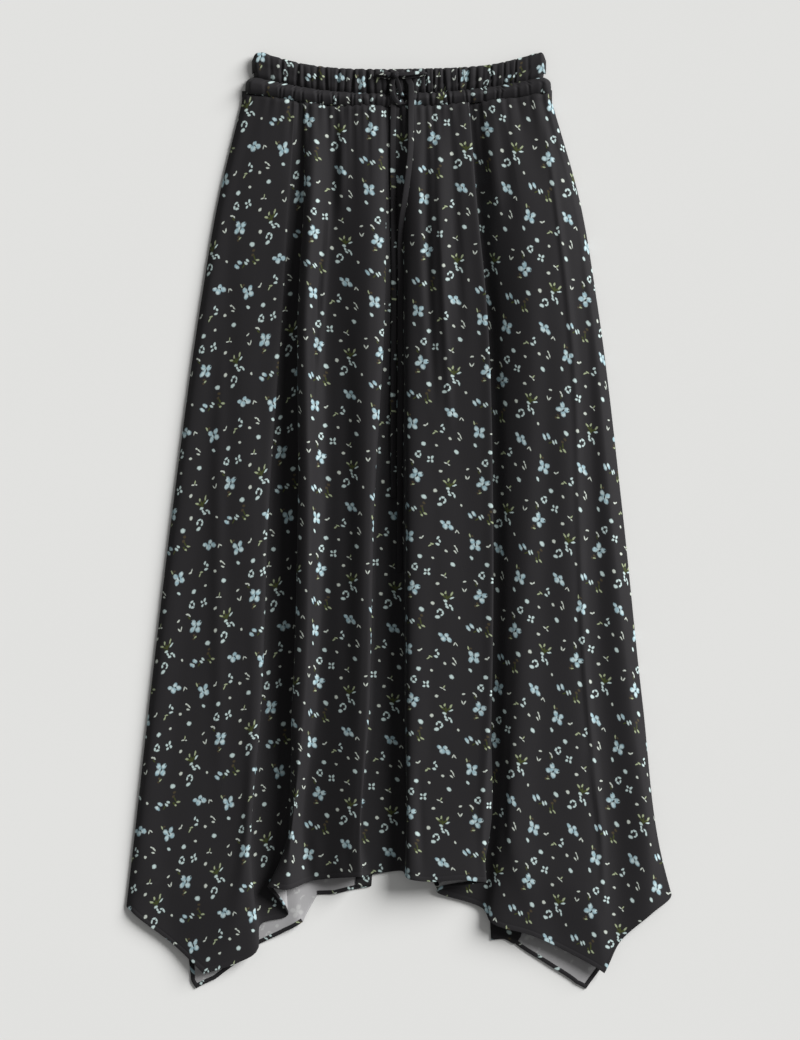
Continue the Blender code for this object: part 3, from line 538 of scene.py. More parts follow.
def crease_lift(across, drop):
    """The height that the small creases add to the front."""
    lift = np.zeros_like(across)
    for _, *points, half_width, height in CREASES:
        places, drops = zip(*sorted(points, key=lambda point: point[1]))
        centre = smooth_values(drops, places, drop)
        share = np.clip((drop - drops[0]) / (drops[-1] - drops[0]), 0, 1)
        lift += height * np.exp(-((across - centre) / half_width) ** 2) * np.sin(np.pi * share) ** CREASE_FADE
    return lift


def gather_lift(across, drop, top):
    """The troughs of the gathers under the waist seam, deepest at the seam, with soft ridges between."""
    lift = np.zeros_like(across)
    for seam_place, lean, length, half_width, depth in GATHERS:
        down = np.clip((drop - top) / length, 0, 1)
        centre = seam_place + lean * down
        gap = (across - centre) / (half_width * (1 + GATHER_SPREAD * down))
        ridges = GATHER_RIDGE * np.exp(-(gap / RIDGE_WIDTH) ** 2)
        lift += depth * (1 - down) ** GATHER_FADE * (ridges - np.exp(-gap ** 2))
    return lift


def hem_lift(from_hem):
    """The swell of the turned hem and the groove of the stitches over it."""
    swell = HEM_SWELL * np.clip((HEM_GROOVE - from_hem) / HEM_GROOVE, 0, 1) ** SWELL_RISE
    swell *= np.clip(from_hem / HEM_EDGE, 0, 1)
    return swell - GROOVE_DEPTH * np.exp(-((from_hem - HEM_GROOVE) / GROOVE_HALF_WIDTH) ** 2)


def front_surface():
    """The face of the front panel as rows of (across, drop, height), and its columns per stretch."""
    length = FRONT_FOLDS[0][2][1] - PLACE_DROPS[0]
    shares = row_shares(FRONT_ROWS)
    shares = np.append(shares[shares < 1 - 1.2 * HEM_ROWS[0] / length], 1 - np.append(HEM_ROWS, 0.0) / length)
    steps = front_steps()
    points = np.empty((len(shares), len(FRONT_FOLDS), 3))
    for i, (_, places, (hem_place, hem_drop), heights) in enumerate(FRONT_FOLDS):
        top = front_top_drop(places[0])
        drop = top + (hem_drop - top) * shares
        points[:, i, 0] = smooth_values(PLACE_DROPS + (hem_drop,), places + (hem_place,), drop)
        points[:, i, 1] = drop
        height = smooth_values(HEIGHT_DROPS, heights, drop)
        level = np.interp(hem_place, *zip(*HEM_LEVELS))
        near_hem = smooth_step((drop - hem_drop + HEM_REACH) / HEM_REACH)
        stand = np.maximum(height - VALLEY_Z, 0) * (LOFT * (1 + (level - 1) * near_hem))
        points[:, i, 2] = np.minimum(height, VALLEY_Z) + stand
    surface = rounded_rows(points, steps, [fold_index(name) for name in HEM_POINTS])
    across, drop, height = surface[..., 0], surface[..., 1], surface[..., 2]
    top = front_top_drop(across)
    lift = crease_lift(across, drop) + gather_lift(across, drop, top)
    lift += hem_lift((1 - shares[:, None]) * length)
    inner = np.ones(across.shape[1])
    inner[:SIDE_COLUMNS] = np.linspace(0, 1, SIDE_COLUMNS)
    inner[-SIDE_COLUMNS:] = np.linspace(1, 0, SIDE_COLUMNS)
    surface[..., 2] = np.maximum(height + lift * inner, EDGE_Z)
    surface[0, :, 1] -= TOP_TUCK
    surface[0, :, 2] -= TOP_TUCK
    return surface, steps


def row_lengths(surface):
    """The length of cloth along each row from its first point."""
    step = np.linalg.norm(np.diff(surface[..., (0, 2)], axis=1), axis=2)
    return np.concatenate([np.zeros((len(surface), 1)), np.cumsum(step, axis=1)], axis=1)


def cloth_places(along_row, drop, repeat_across, repeat_along, corner=(0.0, 0.0)):
    """Where points lie on the flat printed cloth, in metres, from where a repeat ends up each way."""
    along_row, drop = along_row - corner[0], drop - corner[1]
    turn = np.array([[repeat_across[0] / REPEAT[0], repeat_along[0] / REPEAT[1]],
                     [repeat_across[1] / REPEAT[0], repeat_along[1] / REPEAT[1]]])
    back = np.linalg.inv(turn)
    across = back[0, 0] * along_row + back[0, 1] * drop
    along = back[1, 0] * along_row + back[1, 1] * drop
    return np.stack([across * MM, along * MM], axis=-1)


def front_print(surface, steps):
    """Cloth places of the front for each strip, and the strip that each column of faces belongs to."""
    starts = np.concatenate([[0], np.cumsum(steps)])
    lengths = row_lengths(surface)
    maps, strips = [], np.zeros(surface.shape[1] - 1, int)
    first = 0
    for number, (last_fold, from_fold, across, along, corner) in enumerate(PRINT_STRIPS):
        column = starts[fold_index(from_fold)]
        along_row = surface[:, column, None, 0] + lengths - lengths[:, column, None]
        maps.append(cloth_places(along_row, surface[..., 1], across, along, corner))
        last = starts[fold_index(last_fold)]
        strips[first:last] = number
        first = last
    return maps, strips


def sheet_mesh(name, points, maps, strips=None, turned=False):
    """A mesh through a grid of points in metres, with its cloth places in a UV map named cloth."""
    rows, columns, _ = points.shape
    number = np.arange(rows * columns).reshape(rows, columns)
    corners = np.stack([number[1:, :-1], number[1:, 1:], number[:-1, 1:], number[:-1, :-1]], axis=-1)
    if turned:
        corners = corners[..., ::-1]
    mesh = bpy.data.meshes.new(name)
    mesh.from_pydata(points.reshape(-1, 3).tolist(), [], corners.reshape(-1, 4).tolist())
    mesh.shade_smooth()
    layer = mesh.uv_layers.new(name="cloth")
    flat = np.stack([m.reshape(-1, 2) for m in maps])
    strip = np.zeros(columns - 1, int) if strips is None else strips
    strip = np.broadcast_to(strip[None, :, None], corners.shape)
    layer.uv.foreach_set("vector", flat[strip, corners].astype(np.float32).ravel())
    return mesh


def add_object(name, mesh, materials, replaced=()):
    """A piece with its materials, on the skirt's one body, standing for the solids that it replaces."""
    piece = bpy.data.objects.new(name, mesh)
    bpy.context.scene.collection.objects.link(piece)
    for material in materials:
        mesh.materials.append(material)
    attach(piece, "root")
    if replaced:
        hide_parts(*replaced)
    return piece


def thicken(piece, thickness):
    """Give a sheet its thickness on the wrong side, with its second material on its inner faces."""
    solid = piece.modifiers.new("cloth", "SOLIDIFY")
    solid.thickness = thickness * MM
    solid.offset = -1.0
    solid.use_rim = True
    solid.material_offset = 1


def add_node(tree, kind, inputs=(), **settings):
    """A node with its settings, and its inputs by number or name, each a socket or a value."""
    made = tree.nodes.new(kind)
    for key, value in settings.items():
        setattr(made, key, value)
    for key, value in dict(inputs).items():
        if isinstance(value, bpy.types.NodeSocket):
            tree.links.new(value, made.inputs[key])
        else:
            made.inputs[key].default_value = value
    return made


def maths(tree, operation, *values):
    """The result of a math node."""
    return add_node(tree, "ShaderNodeMath", enumerate(values), operation=operation).outputs[0]


def vector_maths(tree, operation, *values, output=0):
    """The result of a vector math node."""
    return add_node(tree, "ShaderNodeVectorMath", enumerate(values), operation=operation).outputs[output]


def eased(tree, value, zero_at, one_at):
    """0 to 1 as a value goes from one place to another."""
    node = add_node(tree, "ShaderNodeMapRange", {0: value, 1: zero_at, 2: one_at, 3: 0.0, 4: 1.0}, clamp=True)
    return node.outputs[0]


def mixed_colour(tree, share, first, second):
    """A mix of two colours."""
    node = add_node(tree, "ShaderNodeMix", {0: share, 6: first, 7: second}, data_type="RGBA")
    return node.outputs[2]


def new_group(name, inputs, outputs):
    """An empty shader node group with its named sockets."""
    tree = bpy.data.node_groups.new(name, "ShaderNodeTree")
    for label, kind, default in inputs:
        socket = tree.interface.new_socket(label, in_out="INPUT", socket_type=kind)
        if default is not None:
            socket.default_value = default
    for label, kind in outputs:
        tree.interface.new_socket(label, in_out="OUTPUT", socket_type=kind)
    return tree, tree.nodes.new("NodeGroupInput"), tree.nodes.new("NodeGroupOutput")


# The print, charted in one repeat: each motif has its name, its middle as across and along, and its
# brush strokes, each with its ink, its middle from the motif's own, its half length, its half width and
# its turn in degrees. Across runs right, along runs down, and sizes are in millimetres.
MOTIFS = (
    ("cross_flower", 4.0, 68.0, (
        ("blue", -1.2, -3.9, 2.9, 2.3, 75), ("blue", 4.0, -1.2, 2.9, 2.3, -20),
        ("blue", 1.5, 3.8, 2.9, 2.4, 65), ("blue", -3.8, 1.4, 2.9, 2.2, -25),
        ("blue", 0.0, 0.0, 2.0, 1.8, 0), ("heart", 0.8, 0.5, 1.6, 0.75, -60),
        ("heart", -3.0, -6.0, 0.9, 0.7, 60), ("heart", 6.2, -1.8, 0.9, 0.6, -20),
        ("pale", -5.4, -14.4, 1.9, 0.8, 30), ("pale", -3.6, -12.6, 1.6, 0.8, 70),
        ("leaf", -4.6, -10.6, 1.8, 0.6, 60), ("stem", -3.2, 7.6, 1.4, 1.0, 20),
        ("stem", -5.0, 10.4, 1.1, 0.8, 50), ("tip", -2.6, 9.6, 1.6, 0.7, -15))),
    ("square_flower", 65.0, 17.5, (
        ("blue", -3.0, -3.1, 2.7, 2.1, 60), ("blue", 2.8, -2.7, 2.7, 2.1, -50),
        ("blue", -3.0, 2.7, 2.8, 2.1, -65), ("blue", 2.6, 2.8, 2.7, 2.3, 50),
        ("blue", 0.0, 0.0, 2.5, 2.2, 0), ("heart", 0.2, -0.4, 1.7, 0.7, 80),
        ("tip", -5.6, -8.6, 2.0, 0.7, 75), ("stem", -3.2, -8.4, 1.2, 0.8, 0),
        ("pale", 12.4, 0.2, 1.7, 0.8, 0), ("pale", 14.5, -1.2, 1.5, 0.7, -50))),
    ("fan_flower", 36.0, 1.5, (
        ("blue", -4.2, -2.1, 2.4, 1.7, 30), ("blue", -1.3, 1.5, 2.8, 2.5, 60),
        ("blue", 1.6, -2.3, 2.1, 1.9, 0), ("blue", 4.3, 1.8, 2.9, 2.1, 42),
        ("blue", 1.8, 0.6, 1.8, 1.6, 0), ("heart", 1.5, 0.2, 1.4, 0.55, 75),
        ("pale", 9.6, 5.2, 2.0, 0.6, -62), ("pale", 11.8, 5.4, 1.9, 0.6, 52))),
    ("hooked_bells", 28.0, 19.0, (
        ("mint", -0.4, -3.5, 2.0, 1.1, -50), ("mint", 1.5, -0.5, 1.9, 1.2, 70),
        ("mint", -0.6, 2.7, 2.2, 1.3, 8), ("tip", -8.2, 5.0, 2.0, 0.7, -42),
        ("tip", -6.0, 3.2, 1.8, 0.7, 15))),
    ("split_leaf", 46.0, 24.5, (
        ("pale", -1.4, -2.9, 1.4, 0.8, 40), ("pale", 0.6, -0.2, 2.8, 0.6, 62),
        ("pale", -0.9, 2.6, 2.0, 0.8, 35))),
    ("seeds", 0.0, 0.0, (
        ("pale", 36.2, 27.5, 1.7, 1.3, 40), ("pale", 23.0, 36.0, 1.5, 1.2, 20),
        ("mint", 61.5, 31.0, 2.4, 1.5, 50), ("pale", 28.2, 61.0, 1.9, 1.4, -15),
        ("pale", 55.0, 55.5, 1.8, 0.9, -20), ("pale", 23.5, 81.0, 1.9, 1.8, 0),
        ("mint", 10.0, 36.0, 2.5, 2.2, 0), ("mint", 43.0, 40.0, 2.7, 2.1, 30),
        ("pale", 50.0, 92.0, 1.5, 1.1, 60))),
    ("ring_flower", 5.0, 47.0, (
        ("mint", 0.6, -2.6, 2.2, 1.1, -10), ("mint", 2.4, 0.2, 1.9, 1.0, 90),
        ("mint", 0.2, 2.6, 2.3, 1.2, 15), ("mint", -2.2, 0.3, 2.1, 1.2, 100))),
    ("small_flower", 17.5, 50.5, (
        ("mint", -1.8, -1.5, 1.5, 1.2, 45), ("mint", 1.7, -2.0, 2.1, 1.3, -60),
        ("mint", -1.9, 2.1, 1.7, 1.2, -30), ("mint", 1.9, 1.6, 1.7, 1.4, 60))),
    ("forked_leaf", 34.5, 52.0, (
        ("pale", -1.5, 0.2, 1.9, 0.65, 15), ("tip", 1.0, -1.2, 1.8, 0.6, -60),
        ("pale", 1.6, 1.6, 1.3, 0.6, 30))),
    ("small_fork", 55.0, 64.0, (
        ("pale", -1.2, 0.0, 2.1, 0.65, 60), ("pale", 1.2, -0.2, 2.2, 0.65, -62))),
    ("sprig", 37.5, 72.0, (
        ("leaf", 0.0, 1.6, 3.4, 0.9, 85), ("leaf", -2.6, 0.8, 2.6, 0.9, 35),
        ("leaf", 2.6, 0.8, 3.0, 1.0, -38), ("leaf", -1.6, 4.2, 1.6, 0.9, 10),
        ("tip", -4.8, -1.2, 2.0, 0.9, 32), ("tip", -1.2, -3.2, 1.7, 0.9, -75),
        ("tip", 4.9, -2.6, 2.3, 0.9, -60), ("mint", 5.2, 1.5, 2.7, 0.9, -26))),
    ("sprig_bells", 39.0, 81.0, (
        ("mint", -2.9, -3.8, 2.2, 1.4, 8), ("mint", -2.0, -0.6, 2.0, 1.1, 62),
        ("mint", -0.8, 2.2, 2.0, 1.2, 20), ("mint", 2.2, 0.4, 1.9, 1.0, 22),
        ("mint", 4.0, 3.0, 2.3, 1.1, 75))),
    ("ring_and_bud", 31.0, 89.5, (
        ("mint", 0.4, -2.9, 2.2, 1.1, 5), ("mint", 2.9, -0.4, 2.1, 1.0, 80),
        ("mint", -2.3, -1.0, 1.9, 1.1, 110), ("mint", 1.9, 2.1, 1.7, 1.0, -40),
        ("mint", -2.5, 4.5, 2.7, 1.8, -10))),
    ("paired_petals", 61.0, 100.5, (
        ("blue", -1.9, 0.8, 3.0, 1.5, 52), ("blue", 1.8, -1.6, 2.8, 1.5, 46),
        ("mint", 8.0, 1.8, 2.5, 1.2, 52), ("mint", 10.3, 0.2, 2.3, 1.1, 50),
        ("leaf", 5.0, 3.4, 2.0, 0.6, -40))),
    ("stemmed_bud", 12.5, 88.5, (
        ("mint", 0.0, 0.0, 3.0, 2.3, 25), ("stem", 0.2, 6.2, 1.5, 1.1, 20),
        ("stem", -1.8, 9.6, 1.4, 1.2, 0), ("leaf", -0.6, 13.0, 2.6, 0.7, 78),
        ("leaf", -2.4, 16.4, 2.0, 0.8, 55), ("tip", 2.0, 16.6, 2.0, 0.9, 25),
        ("tip", -1.4, 18.4, 1.3, 0.9, 40))),
)

# How large each ink's strokes print, as a share of the sizes above, from the lowest ink to the highest.
INK_SPREAD = {"stem": 1.0, "leaf": 1.0, "tip": 0.95, "pale": 0.9, "mint": 0.82, "blue": 0.94, "heart": 1.0}

# How soft a stroke's edge is, as a share of its size, how far it wavers, and how far round a stroke has to
# lie inside a repeat, as a share of its half length.
SOFT_EDGE = 0.3
WAVER = 1.3
STROKE_ROOM = 1.3

# The noise that strokes waver by and the noise of the wash in the flowers, as waves in a millimetre, and
# where the wash starts and is full.
WAVER_SCALE = 0.5
WASH_SCALE = 0.32
WASH_EDGES = (0.35, 0.65)

# The crepe: the scales of its fine grain, of its drawn-out slubs and of its mottle, as waves in a metre, the
# slubs' share of the grain, and how strong the mottle is. Then how far the grain roughens it, how strong and
# how deep its bump is in metres, and how rough its sheen and how shiny its face is.
FINE_SCALE = 1400.0
SLUB_SCALE = (900.0, 260.0, 1.0)
MOTTLE_SCALE = 55.0
SLUB_SHARE = 0.6
MOTTLE = 0.12
GRAIN_ROUGHNESS = 0.08
BUMP_STRENGTH = 0.35
BUMP_DEPTH = 0.00025
SHEEN_ROUGHNESS = 0.45
FACE_SHINE = 0.12


def repeat_windows(tree, cloth):
    """The cloth's places brought into one repeat, for four low corners of that repeat: each has the place
    as (across, along, 1) and its products as (across squared, across by along, along squared)."""
    sides = []
    for axis, size in (((1.0, 0.0, 0.0), REPEAT[0]), ((0.0, 1.0, 0.0), REPEAT[1])):
        place_on = vector_maths(tree, "DOT_PRODUCT", cloth, axis, output=1)
        sides.append([(low, maths(tree, "WRAP", place_on, low + size, low)) for low in (0.0, -size / 2)])
    windows = []
    for low_across, across in sides[0]:
        for low_along, along in sides[1]:
            plain = add_node(tree, "ShaderNodeCombineXYZ", {0: across, 1: along, 2: 1.0}).outputs[0]
            first = add_node(tree, "ShaderNodeCombineXYZ", {0: across, 1: across, 2: along}).outputs[0]
            second = add_node(tree, "ShaderNodeCombineXYZ", {0: across, 1: along, 2: along}).outputs[0]
            windows.append(((low_across, low_along), plain, vector_maths(tree, "MULTIPLY", first, second)))
    return windows


def stroke_window(windows, across, along, reach):
    """The repeat that holds a whole stroke, and the stroke's middle there."""
    for low, plain, products in windows:
        middle = [low[i] + (at - low[i]) % REPEAT[i] for i, at in enumerate((across, along))]
        if all(reach <= middle[i] - low[i] <= REPEAT[i] - reach for i in (0, 1)):
            return middle, plain, products
    raise ValueError("a stroke is wider than a repeat")


def stroke_reach(tree, windows, across, along, half_long, half_wide, turn):
    """The square of how far out a place lies from a stroke's middle, as a share of its own half sizes."""
    (x, y), plain, products = stroke_window(windows, across, along, half_long * STROKE_ROOM)
    cos, sin = math.cos(math.radians(turn)), math.sin(math.radians(turn))
    a = (cos / half_long) ** 2 + (sin / half_wide) ** 2
    b = cos * sin * (half_long ** -2 - half_wide ** -2)
    c = (sin / half_long) ** 2 + (cos / half_wide) ** 2
    squares = vector_maths(tree, "DOT_PRODUCT", products, (a, 2 * b, c), output=1)
    line = (-2 * (a * x + b * y), -2 * (b * x + c * y), a * x * x + 2 * b * x * y + c * y * y)
    return maths(tree, "ADD", squares, vector_maths(tree, "DOT_PRODUCT", plain, line, output=1))


def ink_mask(tree, windows, ink):
    """Where one ink lies: 1 inside any of its strokes, with a soft edge."""
    nearest = None
    for _, across, along, strokes in MOTIFS:
        for kind, dx, dy, half_long, half_wide, turn in strokes:
            if kind != ink:
                continue
            half_sizes = half_long * INK_SPREAD[ink], half_wide * INK_SPREAD[ink]
            reach = stroke_reach(tree, windows, across + dx, along + dy, *half_sizes, turn)
            nearest = reach if nearest is None else maths(tree, "MINIMUM", nearest, reach)
    return eased(tree, nearest, (1 + SOFT_EDGE) ** 2, (1 - SOFT_EDGE) ** 2)


def build_print_group(settings):
    """The printed design as a node group: the colour of the cloth at a place on it, and where ink lies."""
    tree, given, result = new_group("ditsy_flower_print", [("Cloth", "NodeSocketVector", None)],
                                    [("Colour", "NodeSocketColor"), ("Ink", "NodeSocketFloat")])
    cloth = vector_maths(tree, "SCALE", given.outputs[0])
    cloth.node.inputs[3].default_value = 1 / MM
    waver = add_node(tree, "ShaderNodeTexNoise", {"Vector": cloth, "Scale": WAVER_SCALE, "Detail": 1.0})
    shift = vector_maths(tree, "SUBTRACT", waver.outputs["Color"], (0.5, 0.5, 0.5))
    cloth = vector_maths(tree, "MULTIPLY_ADD", shift, (WAVER, WAVER, 0.0), cloth)
    windows = repeat_windows(tree, cloth)

    wash = add_node(tree, "ShaderNodeTexNoise", {"Vector": cloth, "Scale": WASH_SCALE, "Detail": 0.0})
    tone = eased(tree, wash.outputs[0], *WASH_EDGES)
    blue = mixed_colour(tree, tone, settings.blue_ink, settings.blue_wash)
    colours = {"stem": settings.stem_ink, "leaf": settings.leaf_ink, "tip": settings.tip_ink,
               "pale": settings.pale_ink, "mint": settings.mint_ink, "blue": blue, "heart": settings.ground}
    colour, printed = None, None
    for ink in INK_SPREAD:
        mask = ink_mask(tree, windows, ink)
        colour = mixed_colour(tree, mask, settings.ground if colour is None else colour, colours[ink])
        if ink in ("pale", "mint", "blue"):
            printed = mask if printed is None else maths(tree, "MAXIMUM", printed, mask)
    tree.links.new(colour, result.inputs[0])
    tree.links.new(printed, result.inputs[1])
    return tree


def build_crepe_group():
    """The crepe's surface as a node group: fine uneven grain for its bump, and a soft mottle of tone."""
    tree, given, result = new_group("crepe_grain", [("Cloth", "NodeSocketVector", None),
                                                    ("Mottle", "NodeSocketFloat", MOTTLE)],
                                    [("Height", "NodeSocketFloat"), ("Tone", "NodeSocketFloat")])
    cloth = given.outputs[0]
    fine = add_node(tree, "ShaderNodeTexNoise", {"Vector": cloth, "Scale": FINE_SCALE, "Detail": 2.0})
    drawn = vector_maths(tree, "MULTIPLY", cloth, SLUB_SCALE)
    slub = add_node(tree, "ShaderNodeTexNoise", {"Vector": drawn, "Scale": 1.0, "Detail": 1.0})
    height = maths(tree, "ADD", fine.outputs[0], maths(tree, "MULTIPLY", slub.outputs[0], SLUB_SHARE))
    broad = add_node(tree, "ShaderNodeTexNoise", {"Vector": cloth, "Scale": MOTTLE_SCALE, "Detail": 3.0})
    swing = maths(tree, "SUBTRACT", broad.outputs[0], 0.5)
    tone = maths(tree, "MULTIPLY_ADD", swing, given.outputs[1], 1.0)
    tree.links.new(height, result.inputs[0])
    tree.links.new(tone, result.inputs[1])
    return tree


def cloth_material(name, groups, settings, wrong_side=False):
    """The printed crepe seen from its face or from its grey wrong side."""
    print_group, crepe_group = groups
    material = bpy.data.materials.new(name)
    material.use_nodes = True
    tree = material.node_tree
    shader = tree.nodes["Principled BSDF"]
    cloth = add_node(tree, "ShaderNodeUVMap", uv_map="cloth").outputs[0]
    design = add_node(tree, "ShaderNodeGroup", {}, node_tree=print_group)
    tree.links.new(cloth, design.inputs[0])
    grain = add_node(tree, "ShaderNodeGroup", {}, node_tree=crepe_group)
    tree.links.new(cloth, grain.inputs[0])
    colour = design.outputs["Colour"]
    if wrong_side:
        through = maths(tree, "MULTIPLY", design.outputs["Ink"], settings.show_through)
        colour = mixed_colour(tree, through, settings.wrong_side, settings.wrong_side_ink)
    colour = vector_maths(tree, "SCALE", colour)
    tree.links.new(grain.outputs["Tone"], colour.node.inputs[3])
    tree.links.new(colour, shader.inputs["Base Color"])
    roughness = maths(tree, "MULTIPLY_ADD", grain.outputs["Height"], GRAIN_ROUGHNESS, settings.roughness)
    tree.links.new(roughness, shader.inputs["Roughness"])
    bump = add_node(tree, "ShaderNodeBump", {"Strength": BUMP_STRENGTH, "Distance": BUMP_DEPTH,
                                             "Height": grain.outputs["Height"]})
    tree.links.new(bump.outputs[0], shader.inputs["Normal"])
    shader.inputs["Sheen Weight"].default_value = settings.sheen
    shader.inputs["Sheen Roughness"].default_value = SHEEN_ROUGHNESS
    shader.inputs["Specular IOR Level"].default_value = FACE_SHINE
    return material


def cloth_materials(settings):
    """The face and the wrong side of the crepe, made once."""
    if "printed_crepe_face" not in bpy.data.materials:
        groups = build_print_group(settings), build_crepe_group()
        cloth_material("printed_crepe_face", groups, settings)
        cloth_material("crepe_wrong_side", groups, settings, wrong_side=True)
    return bpy.data.materials["printed_crepe_face"], bpy.data.materials["crepe_wrong_side"]


# The section of a turned hem: how far in from the edge and how far up, as shares of its width and its height.
HEM_SECTION = ((0.0, -0.15), (0.0, 0.75), (0.12, 1.0), (0.85, 1.0), (1.0, 0.55), (1.0, -0.15))


def hem_strip(name, edge, inward, away, cloth, width, thick, material):
    """A turned hem: a flat closed strip along an edge, on the side of the cloth that away points to.
    edge, inward and away are arrays of points and directions, and cloth has the edge's places on it."""
    rings, maps = [], []
    for reach, rise in HEM_SECTION + HEM_SECTION[:1]:
        rings.append(edge + inward * (width * MM * reach) + away * (thick * MM * rise))
        maps.append(cloth - (0.0, width * MM * (reach + 0.3 * rise)))
    mesh = sheet_mesh(name, np.stack(rings), [np.stack(maps)])
    return add_object(name, mesh, (material,))


def unit(vectors):
    """Vectors at a length of one."""
    return vectors / np.maximum(np.linalg.norm(vectors, axis=-1, keepdims=True), 1e-9)


def grid_normals(points):
    """The direction that each point of a grid faces, up where the grid lies flat."""
    down = np.gradient(points, axis=0)
    along = np.gradient(points, axis=1)
    return unit(np.cross(down, along))


def make_front(settings):
    """The front panel with its folds, creases and gathers, and its turned hem."""
    face, wrong = cloth_materials(settings)
    surface, steps = front_surface()
    maps, strips = front_print(surface, steps)
    points = grid_points(surface)
    mesh = sheet_mesh("front_cloth", points, maps, strips)
    piece = add_object("front_cloth", mesh, (face, wrong), ["front_panel"])
    thicken(piece, settings.cloth_wall)
    normals = grid_normals(points)[-1]
    inward = unit(points[-4] - points[-1])
    strips = np.append(strips, strips[-1])
    cloth = np.take_along_axis(np.stack([m[-1] for m in maps]), strips[None, :, None], 0)[0]
    edge = points[-1] - normals * settings.cloth_wall * MM
    hem = hem_strip("front_hem", edge, inward, -normals, cloth, settings.hem_width, HEM_THICK[0], face)


def back_surface():
    """The face of the back panel as rows of (across, drop, height)."""
    shares = row_shares(BACK_ROWS)
    last = len(BACK_HEM) - 1
    sides = FRONT_FOLDS[0], FRONT_FOLDS[-1]
    points = np.empty((BACK_ROWS, len(BACK_HEM), 3))
    for i, (_, hem_place, hem_drop, hem_height) in enumerate(BACK_HEM):
        fan = i / last
        top = float(front_top_drop(CHANNEL_ENDS[0] + (CHANNEL_ENDS[1] - CHANNEL_ENDS[0]) * fan))
        drop = top + (hem_drop - top) * shares
        spread, hem_spread = [], []
        for _, places, (side_place, side_drop), _ in sides:
            spread.append(smooth_values(PLACE_DROPS + (side_drop,), places + (side_place,), drop))
            hem_spread.append(side_place)
        across, hem_across = (left + BACK_INSET + (right - left - 2 * BACK_INSET) * fan
                              for left, right in (spread, hem_spread))
        pull = shares ** HEM_PULL
        points[:, i, 0] = across + (hem_place - hem_across) * pull
        points[:, i, 1] = drop
        points[:, i, 2] = BACK_Z + (hem_height - BACK_Z) * pull
    return rounded_rows(points, [BACK_STEPS] * last, range(len(BACK_HEM)))


def make_back(settings):
    """The back panel, wrong side up under the front, with its turned hem where it shows."""
    face, wrong = cloth_materials(settings)
    surface = back_surface()
    points = grid_points(surface)
    maps = [cloth_places(-surface[..., 0], surface[..., 1], *BACK_PRINT)]
    mesh = sheet_mesh("back_cloth", points, maps)
    piece = add_object("back_cloth", mesh, (wrong, face), ["back_panel"])
    thicken(piece, settings.cloth_wall)
    names = [row[0] for row in BACK_HEM]
    for number, (first, last) in enumerate(BACK_HEM_RUNS):
        run = slice(names.index(first) * BACK_STEPS, names.index(last) * BACK_STEPS + 1)
        edge = points[-1, run]
        along = unit(np.gradient(edge, axis=0))
        up = np.broadcast_to((0.0, 0.0, 1.0), edge.shape)
        inward = unit(np.cross(up, along))
        hem_strip(f"back_hem_{number + 1}", edge, inward, up, maps[0][-1, run],
                              settings.hem_width, HEM_THICK[1], face)
    for number, lines in enumerate(BACK_FLAPS):
        upper, lower = (curve_through(line, FLAP_COLUMNS) for line in lines)
        grid = upper + (lower - upper) * np.linspace(0, 1, FLAP_ROWS)[:, None, None]
        flap_maps = [cloth_places(grid[..., 0], grid[..., 1], *BACK_PRINT)]
        name = f"back_flap_{number + 1}"
        mesh = sheet_mesh(name, grid_points(grid), flap_maps)
        flap = add_object(name, mesh, (face, wrong))
        thicken(flap, settings.cloth_wall)


def band_surface(rows, creases, end_height):
    """A gathered band as rows of (across, drop, height), from its rows and creases in the tables."""
    share = np.linspace(-1, 1, BAND_COLUMNS)
    grid = np.empty((len(rows), BAND_COLUMNS, 3))
    ease = np.sin(np.clip((1 - np.abs(share)) / END_SHARE, 0, 1) * np.pi / 2)
    for number, ((left, right), inset, table, past, height, depth_share) in enumerate(rows):
        across = left + inset + (right - left - 2 * inset) * (share + 1) / 2
        down = number / (len(rows) - 1)
        dip = np.zeros(BAND_COLUMNS)
        for crease, top, foot in creases:
            depth = top * (1 - down) + foot * down
            wander = CREASE_WANDER * math.sin(crease * WANDER_WAVE) * (down - 0.5)
            half_width = CREASE_HALF_WIDTH + CREASE_SPREAD * math.sin(crease * SPREAD_WAVE)
            gap = (across - crease - wander) / half_width
            trough = np.exp(-gap ** 2) - SHOULDER * np.exp(-(gap / SHOULDER_WIDTH) ** 2)
            dip += CREASE_GAIN * depth * trough
        low = end_height + LEAST_RISE
        grid[number, :, 0] = across
        grid[number, :, 1] = table_values(table, share) + past + EDGE_WAVE * dip * (1 - down)
        grid[number, :, 2] = end_height + (np.maximum(height - dip * depth_share, low) - end_height) * ease
    return grid


def smoother_rows(grid, steps):
    """The same band with more rows, on smooth curves through the given ones."""
    flat = grid.reshape(len(grid), -1)
    slopes = np.gradient(flat, axis=0)
    at = np.linspace(0, len(grid) - 1, steps)
    low = np.clip(np.floor(at).astype(int), 0, len(grid) - 2)
    fine = cubic((at - low)[:, None], flat[low], flat[low + 1], slopes[low], slopes[low + 1])
    return fine.reshape(steps, *grid.shape[1:])


def cut_opening(grid):
    """The opening in the channel where the string comes out, with its lip."""
    across, drop = ((grid[..., i] - OPENING[i]) / OPENING_SIZE[i] for i in (0, 1))
    reach = np.hypot(across, drop)
    start, width = OPENING_WALL
    grid[..., 2] -= OPENING_DEPTH * np.clip((start - reach) / width, 0, 1)
    middle, width, height = OPENING_LIP
    grid[..., 2] += height * np.exp(-((reach - middle) / width) ** 2)


